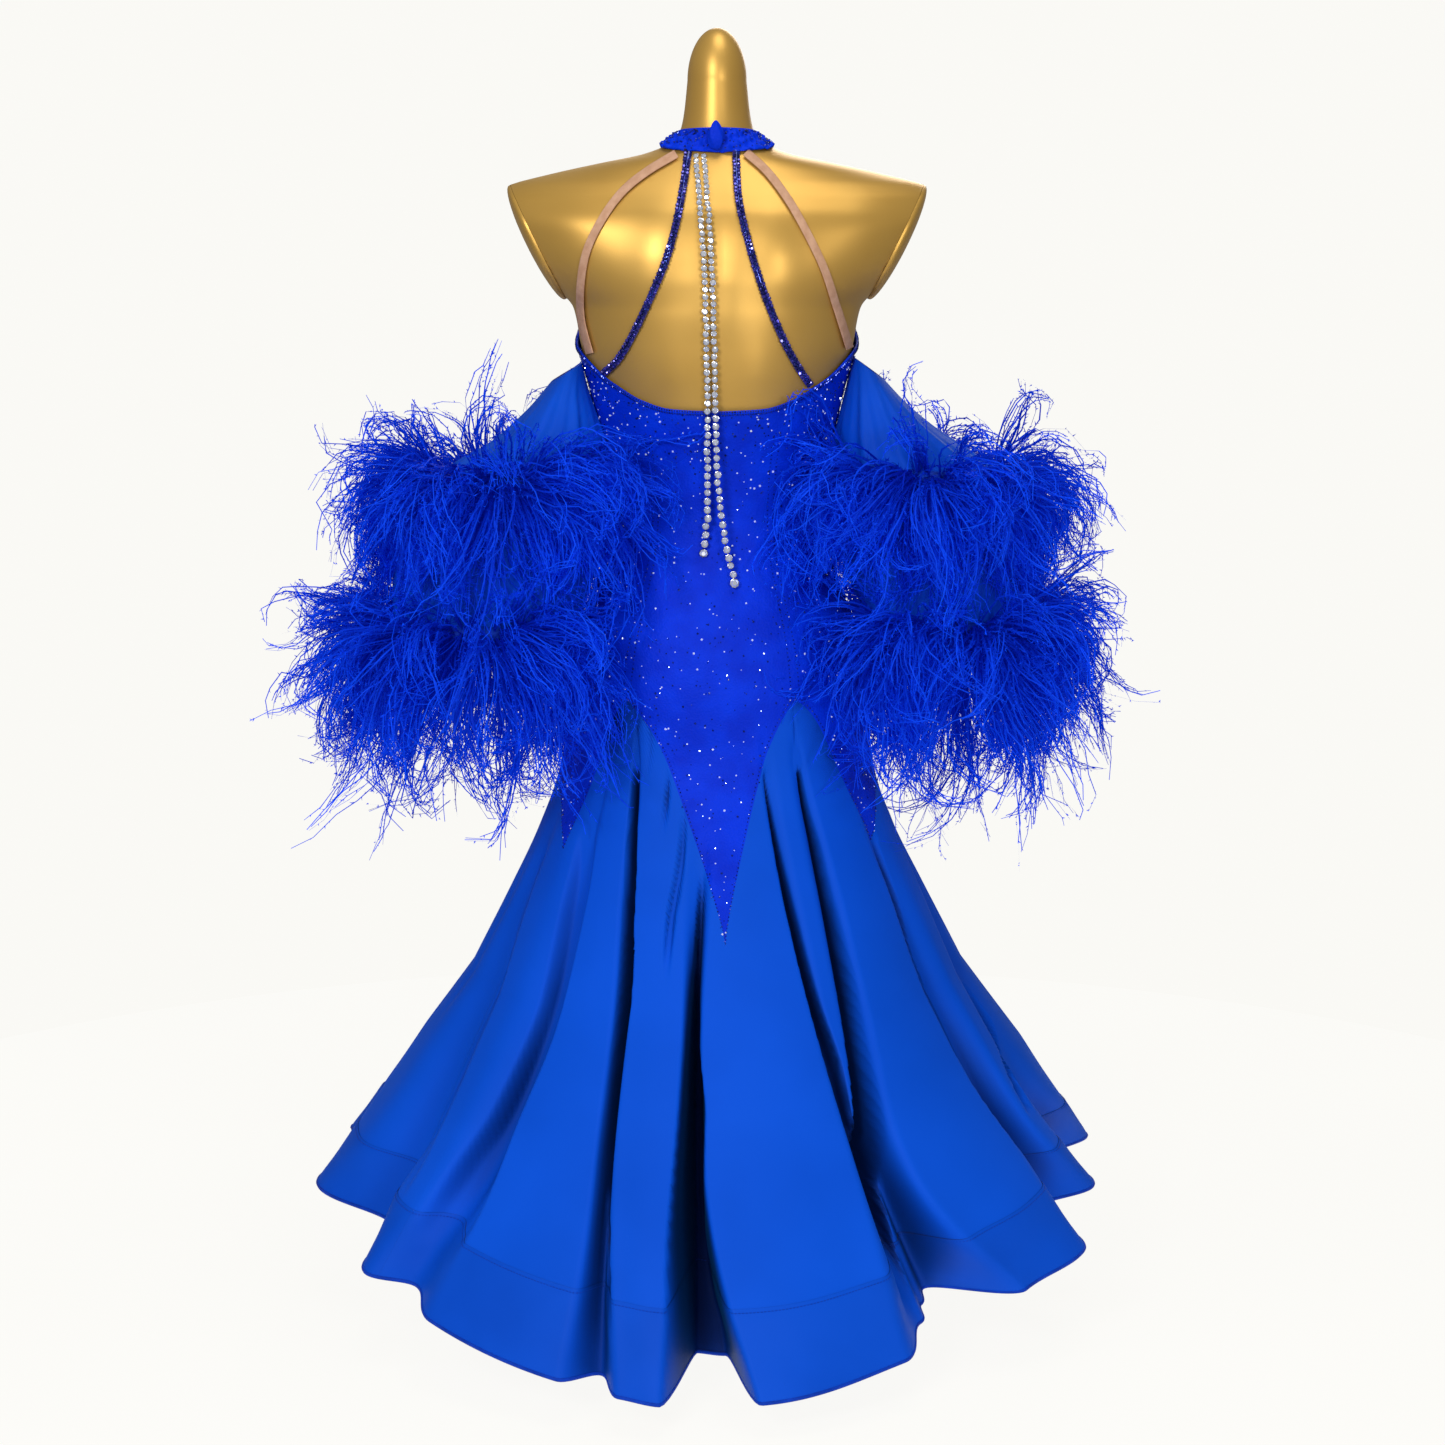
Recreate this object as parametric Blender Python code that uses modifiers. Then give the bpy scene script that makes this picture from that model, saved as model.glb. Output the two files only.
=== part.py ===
"""Ballroom gown on a gold dress form, one solid for each piece that a maker would cut or sew on.

Metres, +Z up, origin on the floor under the stand's pole. The gown's back looks along -Y, the wearer's
right is +X. A place on the body is given by its turn, in degrees round the body from the centre back
towards +X, and by its height.
"""

import bisect
import functools
import math

import bmesh
import bpy
import numpy as np
from mathutils import Vector

WALL = 0.002  # cloth, lined
SLEEVE_WALL = 0.0015
SEAM_GAP = 0.0003
CLOTH_CLEARANCE = 0.0016  # cloth to dress form
BUST_CLEARANCE = 0.0040  # the same over the bust and the front of the shoulders
BUST_TURN, BUST_TURN_SPAN, BUST_RISE = 80.0, 30.0, 0.060  # where it grows from one to the other
BINDING_HEIGHT = 0.005
BINDING_WALL = 0.0035
COLLAR_WALL = 0.003

HEM_LINE = 0.033  # lowest hem, at the centre back
LIFT_LINE = 0.350  # below this line the hem's rise at the sides is spread out
SIDE_HEM_LIFT = 0.085
FRONT_HEM_LIFT = 0.020
BAND_LINE = 0.112  # top of the stiff hem band
FORM_BOTTOM = 0.590
FORM_STEPS = 28
FINE_FORM_LINE, FINE_FORM_STEP = 0.900, 0.030  # above this line the rows lie no further apart
FOOT_SHARE, FOOT_DROP = 0.88, 0.012  # the form's rounded lower edge

# One row for each level of the figure and skirt: height, half width, depth behind and before the axis,
# and squareness, the exponent of the superellipse.
SECTION_COLUMNS = ("height", "half_width", "back", "front", "squareness")
SECTIONS = (
    (0.020, 0.444, 0.492, 0.470, 2.00),
    (0.033, 0.438, 0.488, 0.464, 2.00),
    (0.072, 0.414, 0.466, 0.442, 2.00),
    (0.112, 0.390, 0.444, 0.420, 2.00),
    (0.170, 0.356, 0.404, 0.382, 2.00),
    (0.235, 0.322, 0.352, 0.334, 2.00),
    (0.300, 0.288, 0.302, 0.286, 2.00),
    (0.370, 0.252, 0.246, 0.232, 2.00),
    (0.435, 0.219, 0.198, 0.184, 2.02),
    (0.500, 0.188, 0.158, 0.142, 2.05),
    (0.560, 0.166, 0.131, 0.114, 2.10),
    (0.600, 0.159, 0.122, 0.106, 2.12),
    (0.652, 0.1565, 0.1185, 0.103, 2.15),
    (0.700, 0.148, 0.111, 0.100, 2.15),
    (0.750, 0.130, 0.096, 0.097, 2.12),
    (0.800, 0.112, 0.081, 0.093, 2.10),
    (0.835, 0.107, 0.077, 0.093, 2.10),
    (0.880, 0.111, 0.081, 0.099, 2.10),
    (0.925, 0.121, 0.091, 0.112, 2.12),
    (0.970, 0.131, 0.100, 0.124, 2.15),
    (1.010, 0.142, 0.105, 0.124, 2.15),
    (1.050, 0.150, 0.108, 0.116, 2.12),
    (1.074, 0.172, 0.108, 0.110, 2.08),
    (1.098, 0.198, 0.106, 0.103, 2.03),
    (1.120, 0.216, 0.102, 0.094, 1.98),
    (1.145, 0.232, 0.094, 0.084, 1.90),
    (1.163, 0.233, 0.083, 0.073, 1.82),
    (1.176, 0.217, 0.074, 0.064, 1.75),
    (1.187, 0.177, 0.066, 0.058, 1.72),
    (1.199, 0.122, 0.058, 0.053, 1.80),
    (1.2085, 0.076, 0.0525, 0.0495, 1.90),
    (1.217, 0.054, 0.0485, 0.0470, 1.96),
    (1.230, 0.0390, 0.0430, 0.0420, 2.00),
    (1.250, 0.0342, 0.0388, 0.0378, 2.00),
    (1.280, 0.0309, 0.0346, 0.0336, 2.00),
    (1.304, 0.0284, 0.0314, 0.0304, 2.00),
    (1.320, 0.0235, 0.0262, 0.0252, 2.00),
    (1.331, 0.0150, 0.0167, 0.0162, 2.00),
)
NECK_CAP_TOP = 1.3366

# The two arm ends are cut flat and closed by a domed cap. The cut leans in towards the underarm.
ARM_CUT_TOP = (0.2125, 1.1730)
ARM_CUT_BOTTOM = (0.1520, 1.0500)
ARM_CAP_BULGE = 0.012
ARM_CAP_EDGE = 0.003
ARM_CAP_RINGS = ((1.0, 0.0), (0.86, 0.62), (0.5, 0.93))  # share of the rim, share of the bulge
CUT_REACH = 0.001
SAME_PLACE = 1e-6
SAME_LEVEL = 0.001
NORMAL_TURN, NORMAL_RISE = 0.6, 0.0015  # steps in degrees and height that give a normal

# Godets: where the tip stands and how high. Petals: the sparkling panel points between them. The seam
# below a point runs between two fold lines, at a share of the way from the first to the next.
GODET_COLUMNS = ("name", "turn", "tip")
GODETS = (
    ("godet_front_left", -148.5, 0.652),
    ("godet_side_left", -90.0, 0.566),
    ("godet_back_left", -34.5, 0.652),
    ("godet_back_right", 29.0, 0.652),
    ("godet_side_right", 90.0, 0.566),
    ("godet_front_right", 148.5, 0.652),
)
PETAL_COLUMNS = ("name", "tip", "seam_line", "seam_share")
PETALS = (
    ("panel_front", 0.416, "front centre valley", 0.0),
    ("panel_side_front_left", 0.490, "valley 3", 0.0),
    ("panel_side_back_left", 0.490, "crest 6", 0.30),
    ("panel_back", 0.416, "crest 9 left", 0.17),
    ("panel_side_back_right", 0.490, "valley 10", 0.0),
    ("panel_side_front_right", 0.490, "valley 12", 0.0),
)
PETAL_EDGE = ((0.78, 1.3), (0.22, 9.0))  # weight and power of each term of a petal's edge
TIP_DROP = 0.005  # the first row of a godet lies this far below its tip
PANEL_END_WIDTH = 0.001
PANEL_COLUMNS = 6

# Fold lines of the skirt, in order round the body. Turn of each line at five levels, and how far it
# lies inside the skirt's envelope at four levels. Between two lines the cloth swings in a soft wave.
FOLD_LEVELS = (0.033, 0.220, 0.360, 0.500, 0.620)
FOLDS = (
    # name, turns at the five levels from the hem up, depths at the lower four
    ("front centre valley", (-178.0, -178.0, -179.0, -180.0, -180.0), (0.115, 0.058, 0.024, 0.003)),
    ("crest 1", (-169.0, -168.0, -167.0, -164.0, -160.0), (0.004, 0.000, 0.000, 0.000)),
    ("valley 1", (-156.0, -155.0, -154.0, -152.0, -150.5), (0.100, 0.050, 0.026, 0.010)),
    ("crest 2", (-147.0, -146.0, -146.0, -146.5, -148.0), (0.010, 0.002, 0.000, 0.000)),
    ("valley 2", (-137.0, -136.0, -136.0, -139.0, -145.0), (0.085, 0.040, 0.020, 0.008)),
    ("crest 3", (-127.0, -127.0, -127.0, -130.0, -140.0), (0.012, 0.004, 0.002, 0.000)),
    ("valley 3", (-115.0, -116.0, -118.0, -122.0, -123.0), (0.090, 0.042, 0.018, 0.002)),
    ("crest 4", (-106.0, -107.0, -108.0, -110.0, -105.0), (0.012, 0.000, 0.000, 0.000)),
    ("valley 4", (-95.0, -95.0, -94.0, -92.0, -91.0), (0.075, 0.036, 0.018, 0.006)),
    ("crest 5", (-80.0, -81.0, -81.0, -80.0, -84.0), (0.008, 0.000, 0.000, 0.000)),
    ("valley 5", (-64.0, -66.0, -67.0, -68.0, -57.0), (0.072, 0.036, 0.018, 0.003)),
    ("crest 6", (-54.5, -55.0, -58.0, -60.0, -52.0), (0.006, 0.002, 0.000, 0.000)),
    ("valley 6", (-48.5, -44.0, -42.0, -44.0, -42.0), (0.042, 0.024, 0.014, 0.005)),
    ("crest 7 left", (-41.0, -38.0, -38.0, -38.0, -39.5), (0.012, 0.006, 0.002, 0.000)),
    ("crest 7 right", (-21.0, -22.5, -25.5, -31.0, -33.0), (0.012, 0.006, 0.003, 0.000)),
    ("valley 7", (-16.4, -20.2, -22.0, -27.2, -29.8), (0.052, 0.034, 0.024, 0.010)),
    ("crest 8 left", (-12.4, -16.6, -18.8, -24.0, -27.5), (0.006, 0.002, 0.001, 0.000)),
    ("crest 8 right", (-7.2, -8.2, -8.5, -14.0, -22.0), (0.000, 0.000, 0.000, 0.000)),
    ("centre valley left", (-3.6, -5.6, -6.0, -5.0, -10.0), (0.146, 0.056, 0.024, 0.003)),
    ("centre valley right", (1.6, -3.8, -4.8, -4.0, -9.0), (0.140, 0.056, 0.024, 0.003)),
    ("crest 9 left", (5.6, -1.2, -2.2, 1.0, 5.0), (0.007, 0.002, 0.000, 0.000)),
    ("crest 9 right", (26.0, 23.0, 19.5, 16.0, 12.0), (0.030, 0.006, 0.001, 0.000)),
    ("valley 8", (34.0, 26.2, 22.7, 18.9, 15.5), (0.085, 0.036, 0.020, 0.009)),
    ("crest 10", (37.4, 28.4, 27.0, 25.0, 22.0), (0.112, 0.036, 0.010, 0.001)),
    ("valley 9", (41.0, 30.6, 32.2, 33.0, 29.0), (0.132, 0.044, 0.028, 0.012)),
    ("crest 11 left", (48.5, 36.0, 37.5, 38.5, 33.5), (0.030, 0.005, 0.000, 0.000)),
    ("crest 11 right", (60.0, 55.5, 54.5, 53.0, 46.0), (0.010, 0.003, 0.001, 0.000)),
    ("valley 10", (70.0, 63.0, 62.0, 58.5, 56.0), (0.082, 0.040, 0.020, 0.003)),
    ("crest 12", (79.0, 68.5, 71.0, 78.0, 84.0), (0.032, 0.004, 0.000, 0.000)),
    ("valley 11", (90.0, 74.5, 79.0, 88.0, 90.5), (0.078, 0.014, 0.010, 0.006)),
    ("crest 13", (101.0, 88.0, 92.0, 104.0, 104.0), (0.020, 0.000, 0.000, 0.000)),
    ("valley 12", (112.0, 114.0, 117.0, 121.5, 123.0), (0.088, 0.040, 0.018, 0.002)),
    ("crest 14", (121.0, 122.0, 124.0, 129.0, 139.0), (0.012, 0.002, 0.000, 0.000)),
    ("valley 13", (130.0, 131.0, 134.0, 139.0, 145.0), (0.090, 0.040, 0.020, 0.008)),
    ("crest 15", (140.0, 141.0, 143.0, 146.0, 148.0), (0.010, 0.002, 0.000, 0.000)),
    ("valley 14", (151.0, 151.0, 151.0, 151.5, 150.5), (0.105, 0.050, 0.026, 0.010)),
    ("crest 16", (164.0, 163.0, 161.0, 160.0, 160.0), (0.006, 0.000, 0.000, 0.000)),
)
WIDEST_COLUMN_STEP = 4.8  # degrees at the hem
STEEP_FLANK = 0.08  # a fold's flank that drops more than this has a column of its own
UPPER_ROWS = 7
EVEN_AT_TIP = 0.35  # near a tip the columns are spread this much evenly
EVEN_BELOW = 0.15
SKIRT_LEVELS = (0.647, 0.610, 0.566, 0.561, 0.525, 0.490, 0.455, 0.416, 0.350, 0.280, 0.195)
BODY_LEVELS = (0.925, 0.880, 0.835, 0.800, 0.750, 0.700, 0.652)
BAND_LEVELS = (0.072, 0.033)

# Upper edge of the gown, over half the body: turn and height. It drops low behind and climbs to the
# collar in front as a halter.
NECKLINE_COLUMNS = ("turn", "height")
NECKLINE = (
    (0.0, 0.9487),
    (20.0, 0.9510),
    (35.0, 0.9600),
    (47.0, 0.9725),
    (57.0, 0.9830),
    (70.0, 0.9990),
    (80.0, 1.0080),
    (90.0, 1.0140),
    (100.0, 1.0220),
    (110.0, 1.0340),
    (120.0, 1.0500),
    (130.0, 1.0740),
    (140.0, 1.1040),
    (148.0, 1.1340),
    (155.0, 1.1680),
    (163.0, 1.2040),
    (180.0, 1.2040),
)
LEAST_TURN_STEP = 0.5
HALTER_TURN = 162.0  # the binding of the armhole ends here, under the collar

# Stand collar: turn, lower and upper edge.
COLLAR_COLUMNS = ("turn", "low", "high")
COLLAR = (
    (0.0, 1.2075, 1.2340),
    (50.0, 1.2110, 1.2325),
    (90.0, 1.2150, 1.2285),
    (130.0, 1.2100, 1.2230),
    (180.0, 1.1990, 1.2170),
)
COLLAR_STEPS = 26
KNOT_SIZE = (0.0085, 0.0045, 0.0150)  # half sizes
KNOT_PLACE = (-1.5, 1.2245)
KNOT_TAPER = 0.35
KNOT_STAND = 0.0046  # the collar leans in, so the knot stands off its foot

# Straps: side along X and height of points on the back, from the collar down.
NUDE_STRAP_LEFT = ((-0.0480, 1.2020), (-0.0700, 1.1890), (-0.0960, 1.1680), (-0.1175, 1.1390),
                   (-0.1320, 1.1090), (-0.1385, 1.0740), (-0.1385, 1.0400),
                   (-0.1305, 1.0080))
NUDE_STRAP_RIGHT = ((0.0350, 1.2025), (0.0510, 1.1880), (0.0720, 1.1600), (0.0910, 1.1270),
                    (0.1090, 1.0900), (0.1230, 1.0480), (0.1345, 1.0130))
BEAD_STRAP_LEFT = ((-0.0300, 1.2020), (-0.0340, 1.1740), (-0.0410, 1.1380), (-0.0515, 1.1010),
                   (-0.0650, 1.0680), (-0.0810, 1.0330), (-0.0985, 1.0020), (-0.1120, 0.9880))
BEAD_STRAP_RIGHT = ((0.0195, 1.2020), (0.0215, 1.1650), (0.0300, 1.1240), (0.0425, 1.0830),
                    (0.0560, 1.0460), (0.0715, 1.0110), (0.0860, 0.9860), (0.0925, 0.9765))
NUDE_STRAP_WIDTH, NUDE_STRAP_WALL = 0.0080, 0.0012
BEAD_STRAP_WIDTH, BEAD_STRAP_WALL = 0.0080, 0.0030
STRAP_CLEARANCE = 0.0021
STRAP_STEPS = 16

# Crystal strands hang from the collar and lie on the seat. Side along X and height of each point.
STRAND_LEFT = ((-0.0210, 1.2020), (-0.0168, 1.1500), (-0.0130, 1.0900), (-0.0110, 1.0200),
               (-0.0095, 0.9500), (-0.0100, 0.8900), (-0.0100, 0.8350), (-0.0140, 0.8020))
STRAND_RIGHT = ((-0.0130, 1.2020), (-0.0088, 1.1500), (-0.0050, 1.0900), (-0.0030, 1.0200),
                (-0.0015, 0.9500), (0.0000, 0.8900), (0.0060, 0.8300), (0.0185, 0.7670))
STRAND_WIDTH, STRAND_WALL = 0.0062, 0.0040
STRAND_STEPS = 18
STRAND_BEND = 0.030

# Sleeves: half tubes of sheer cloth that drop from the armhole. Height, side and depth of the centre,
# half width, half depth, and how much the inner side stands above the outer one.
SLEEVE_COLUMNS = ("height", "side", "depth", "half_width", "half_depth", "lean")
SLEEVE_LEFT = (
    (0.984, -0.1565, -0.004, 0.0165, 0.038, 0.010),
    (0.957, -0.1680, -0.012, 0.0315, 0.054, 0.014),
    (0.930, -0.1785, -0.024, 0.0505, 0.068, 0.014),
    (0.902, -0.1950, -0.036, 0.0750, 0.080, 0.010),
    (0.870, -0.2120, -0.043, 0.0940, 0.086, 0.004),
    (0.800, -0.2295, -0.050, 0.1045, 0.087, 0.000),
    (0.700, -0.2520, -0.052, 0.0860, 0.084, 0.000),
)
SLEEVE_RIGHT = (
    (0.988, 0.1585, 0.000, 0.0160, 0.040, 0.012),
    (0.965, 0.1688, -0.004, 0.0312, 0.054, 0.016),
    (0.940, 0.1795, -0.010, 0.0476, 0.064, 0.014),
    (0.910, 0.1955, -0.016, 0.0705, 0.074, 0.010),
    (0.870, 0.2140, -0.021, 0.0910, 0.080, 0.004),
    (0.800, 0.2290, -0.026, 0.1000, 0.082, 0.000),
    (0.700, 0.2528, -0.028, 0.0812, 0.078, 0.000),
)
SLEEVE_STEPS = 20
ROW_ROOM = 0.011
SLEEVE_WAVES = ((5, 0.030, 0.4), (9, 0.018, 1.9))  # count round, share of the half width, phase

# Feather trims: the height of the band that carries them, its sleeve, length of a lock at the outer
# end and at the middle, the lowest and highest rise of the locks in degrees, how much longer the
# lowest locks are, how far the inner ones sweep over the back, the level that their ends stay above,
# and the seed of their scatter.
FEATHER_COLUMNS = (
    "name", "sleeve", "height", "long", "short", "low_rise", "high_rise", "stretch", "sweep", "floor", "seed"
)
FEATHERS = (
    ("feathers_upper_left", "left", 0.878, 0.188, 0.190, -25.0, 62.0, 1.05, 1.20, 0.785, 3),
    ("feathers_lower_left", "left", 0.722, 0.118, 0.165, -62.0, 40.0, 1.75, 0.35, 0.462, 5),
    ("feathers_upper_right", "right", 0.878, 0.158, 0.145, -25.0, 62.0, 1.05, 0.40, 0.785, 7),
    ("feathers_lower_right", "right", 0.722, 0.108, 0.155, -62.0, 40.0, 1.75, 0.15, 0.462, 9),
)
FEATHER_TIERS = 3
FEATHER_BAND_HEIGHT, FEATHER_BAND_WALL = 0.020, 0.003
LOCK_RADII = (0.0062, 0.0044)
LOCK_DROOP = 0.62
LOCK_SHARES = (0.30, 0.36, 0.34)
LOCK_YAW, TIER_YAW, LOCK_PITCH = 4.0, 2.0, 8.0  # scatter in degrees
LOCK_SPREAD = (0.86, 1.05)  # scatter of the length
SWEEP_FROM = -0.1
FLOOR_SPRING = 0.15
FACING_BODY = 0.60  # faces turned to the body beyond this carry no locks
BODY_CLEARANCE = 0.007
SLEEVE_CLEARANCE = 0.010
SLEEVE_GAP = 0.0015  # from the sleeve to the bodice beside it

BASE_RADIUS, BASE_HEIGHT, BASE_BEVEL = 0.170, 0.010, 0.002
HUB_RADIUS, HUB_TOP_RADIUS, HUB_HEIGHT = 0.045, 0.020, 0.030
POLE_RADIUS = 0.0125
FLANGE_RADIUS, FLANGE_HEIGHT = 0.055, 0.010

GOLD = ("form_gold", (0.72, 0.49, 0.14), 0.32, 0.85)
STEEL = ("stand_steel", (0.62, 0.62, 0.60), 0.30, 1.0)
SPARKLE = ("sparkle_cloth", (0.012, 0.055, 0.62), 0.45, 0.0)
CREPE = ("skirt_crepe", (0.015, 0.100, 0.66), 0.55, 0.0)
SHEER = ("sleeve_sheer", (0.015, 0.085, 0.62), 0.60, 0.0)
PLUME = ("feather_blue", (0.010, 0.045, 0.78), 0.70, 0.0)
NUDE = ("nude_elastic", (0.74, 0.45, 0.32), 0.60, 0.0)
DARK_STONES = ("dark_stones", (0.030, 0.020, 0.220), 0.12, 0.0)
CRYSTAL = ("crystal_stones", (0.86, 0.88, 0.92), 0.08, 0.3)

COLLECTION = "ballroom_gown_on_dress_form"


def rows_of(columns, table):
    return [dict(zip(columns, row)) for row in table]


def smooth_column(at, table, key, value):
    """A monotone cubic through the table's rows."""
    xs = np.array([row[key] for row in table])
    ys = np.array([row[value] for row in table])
    at = min(max(at, xs[0]), xs[-1])
    k = int(min(max(np.searchsorted(xs, at) - 1, 0), len(xs) - 2))
    steps = np.diff(xs)
    slopes = np.diff(ys) / steps

    def tangent(i):
        if i == 0 or i == len(xs) - 1:
            return slopes[min(i, len(slopes) - 1)]
        before, after = slopes[i - 1], slopes[i]
        return 0.0 if before * after <= 0 else 2 * before * after / (before + after)

    t = (at - xs[k]) / steps[k]
    return (
        (2 * t**3 - 3 * t**2 + 1) * ys[k]
        + (t**3 - 2 * t**2 + t) * steps[k] * tangent(k)
        + (3 * t**2 - 2 * t**3) * ys[k + 1]
        + (t**3 - t**2) * steps[k] * tangent(k + 1)
    )


SECTION_ROWS = rows_of(SECTION_COLUMNS, SECTIONS)
NECKLINE_ROWS = rows_of(NECKLINE_COLUMNS, NECKLINE)
COLLAR_ROWS = rows_of(COLLAR_COLUMNS, COLLAR)
FOLD_NAMES = [fold[0] for fold in FOLDS]
GODET_ROWS = rows_of(GODET_COLUMNS, GODETS)
PETAL_ROWS = rows_of(PETAL_COLUMNS, PETALS)


def turn_between(turn, other):
    """Signed difference in degrees, the short way round."""
    return (turn - other + 180.0) % 360.0 - 180.0


def hem_lift(turn):
    """How far the hem stands above its lowest point."""
    side = math.sin(math.radians(turn)) ** 2
    front = (1 - math.cos(math.radians(turn))) / 2
    return SIDE_HEM_LIFT * side + FRONT_HEM_LIFT * front


def lifted(height, turn):
    """The real height of a level of the skirt at this turn."""
    if height >= LIFT_LINE:
        return height
    share = (LIFT_LINE - height) / (LIFT_LINE - HEM_LINE)
    return LIFT_LINE - share * (LIFT_LINE - HEM_LINE - hem_lift(turn))


def level_share(height):
    """The pair of fold levels round this height and the share of the way between them."""
    height = min(max(height, FOLD_LEVELS[0]), FOLD_LEVELS[-1])
    low = max(k for k in range(len(FOLD_LEVELS) - 1) if FOLD_LEVELS[k] <= height)
    return low, (height - FOLD_LEVELS[low]) / (FOLD_LEVELS[low + 1] - FOLD_LEVELS[low])


def smooth_through(values, height):
    """Catmull-Rom through the values at the fold levels."""
    low, t = level_share(height)
    high = low + 1
    before, after = max(low - 1, 0), min(high + 1, len(values) - 1)
    span = FOLD_LEVELS[high] - FOLD_LEVELS[low]
    start = (values[high] - values[before]) / (FOLD_LEVELS[high] - FOLD_LEVELS[before]) * span
    end = (values[after] - values[low]) / (FOLD_LEVELS[after] - FOLD_LEVELS[low]) * span
    return (
        (2 * t**3 - 3 * t**2 + 1) * values[low]
        + (t**3 - 2 * t**2 + t) * start
        + (3 * t**2 - 2 * t**3) * values[high]
        + (t**3 - t**2) * end
    )


@functools.lru_cache(maxsize=4096)
def fold_lines(height):
    """Turn and depth of every fold line at this height."""
    turns = [smooth_through(turns, height) for name, turns, depths in FOLDS]
    depths = [max(0.0, smooth_through((*depths, 0.0), height)) for name, turns, depths in FOLDS]
    return turns, depths


def valley_depth(turn, height):
    """Depth of the skirt's folds at this place."""
    if height >= FOLD_LEVELS[-1]:
        return 0.0
    turns, depths = fold_lines(height)
    turn = turns[0] + (turn - turns[0]) % 360.0
    k = bisect.bisect_right(turns, turn) - 1
    after = (k + 1) % len(turns)
    next_turn = turns[after] + (360.0 if after == 0 else 0.0)
    swing = (1 - math.cos(math.pi * (turn - turns[k]) / (next_turn - turns[k]))) / 2
    return depths[k] + (depths[after] - depths[k]) * swing


def superellipse(angle, power):
    c, s = math.cos(angle), math.sin(angle)
    return (math.copysign(abs(s) ** (2 / power), s), math.copysign(abs(c) ** (2 / power), c))


def body_point(turn, height):
    """A point of the figure, or of the skirt below the hip line."""
    half_width, back, front, power = (
        smooth_column(height, SECTION_ROWS, "height", name) for name in SECTION_COLUMNS[1:]
    )
    across, along = superellipse(math.radians(turn), power)
    depth = back if along > 0 else front
    x, y = half_width * across, -depth * along
    if height < FOLD_LEVELS[-1]:
        reach = math.hypot(x, y)
        inward = 1 - valley_depth(turn, height) / reach
        x, y = x * inward, y * inward
    return Vector((x, y, lifted(height, turn)))


def body_normal(turn, height):
    along = body_point(turn + NORMAL_TURN, height) - body_point(turn - NORMAL_TURN, height)
    up = body_point(turn, height + NORMAL_RISE) - body_point(turn, height - NORMAL_RISE)
    return along.cross(up).normalized()


def neckline_height(turn):
    return smooth_column(abs(turn_between(turn, 0.0)), NECKLINE_ROWS, "turn", "height")


def turn_on_back(side, height):
    """The turn at which the back of the figure has this X at this height."""
    low, high = -90.0, 90.0
    for _ in range(30):
        middle = (low + high) / 2
        if body_point(middle, height).x < side:
            low = middle
        else:
            high = middle
    return (low + high) / 2


def material_of(finish):
    name, colour, roughness, metallic = finish
    found = bpy.data.materials.get(name)
    if found:
        return found
    material = bpy.data.materials.new(name)
    material.use_nodes = True
    shader = material.node_tree.nodes["Principled BSDF"]
    shader.inputs["Base Color"].default_value = (*colour, 1.0)
    shader.inputs["Roughness"].default_value = roughness
    shader.inputs["Metallic"].default_value = metallic
    material.diffuse_color = (*colour, 1.0)
    return material


def object_from(name, mesh, finish, smooth=True):
    mesh.materials.append(material_of(finish))
    if smooth:
        mesh.shade_smooth()
        mesh.set_sharp_from_angle(angle=math.radians(40))
    placed = bpy.data.objects.new(name, mesh)
    bpy.data.collections[COLLECTION].objects.link(placed)
    return placed


def object_from_bmesh(name, made, finish, smooth=True):
    bmesh.ops.recalc_face_normals(made, faces=made.faces)
    bmesh.ops.triangulate(made, faces=made.faces, quad_method="SHORT_EDGE")
    mesh = bpy.data.meshes.new(name)
    made.to_mesh(mesh)
    made.free()
    return object_from(name, mesh, finish, smooth)


def wall_from_grids(name, inner, outer, finish, ring=False):
    """A cloth wall between two grids of points. Rows run down, columns run across, and a ring's last
    column meets its first."""
    made = bmesh.new()
    sheets = [[[made.verts.new(p) for p in row] for row in grid] for grid in (inner, outer)]
    rows, columns = len(inner), len(inner[0])
    spans = columns if ring else columns - 1
    for sheet in sheets:
        for i in range(rows - 1):
            for j in range(spans):
                k = (j + 1) % columns
                made.faces.new((sheet[i][j], sheet[i][k], sheet[i + 1][k], sheet[i + 1][j]))
    inside, outside = sheets
    for i in (0, rows - 1):
        for j in range(spans):
            k = (j + 1) % columns
            made.faces.new((inside[i][j], inside[i][k], outside[i][k], outside[i][j]))
    if not ring:
        for j in (0, columns - 1):
            for i in range(rows - 1):
                made.faces.new((inside[i][j], inside[i + 1][j], outside[i + 1][j], outside[i][j]))
    return object_from_bmesh(name, made, finish)


def cloth_clearance(turn, height):
    """Distance from the figure to the cloth. It grows over the bust."""
    front = min(1.0, max(0.0, (abs(turn_between(turn, 0.0)) - BUST_TURN) / BUST_TURN_SPAN))
    upper = min(1.0, max(0.0, (height - BODY_LEVELS[0]) / BUST_RISE))
    return CLOTH_CLEARANCE + (BUST_CLEARANCE - CLOTH_CLEARANCE) * front * upper


def wall_on_body(name, places, thickness, finish, ring=False, clearance_at=cloth_clearance):
    """A cloth wall that lies on the figure, or is the skirt. places is a grid of (turn, height)."""
    inner, outer = [], []
    for row in places:
        inner.append([])
        outer.append([])
        for turn, height in row:
            point, normal = body_point(turn, height), body_normal(turn, height)
            clearance = clearance_at(turn, height)
            inner[-1].append(point + normal * clearance)
            outer[-1].append(point + normal * (clearance + thickness))
    return wall_from_grids(name, inner, outer, finish, ring)


def degrees_for(width, turn, height):
    """The turn that spans this width at this place."""
    step = 0.5
    span = (body_point(turn + step, height) - body_point(turn - step, height)).length
    return width / span * 2 * step


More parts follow.
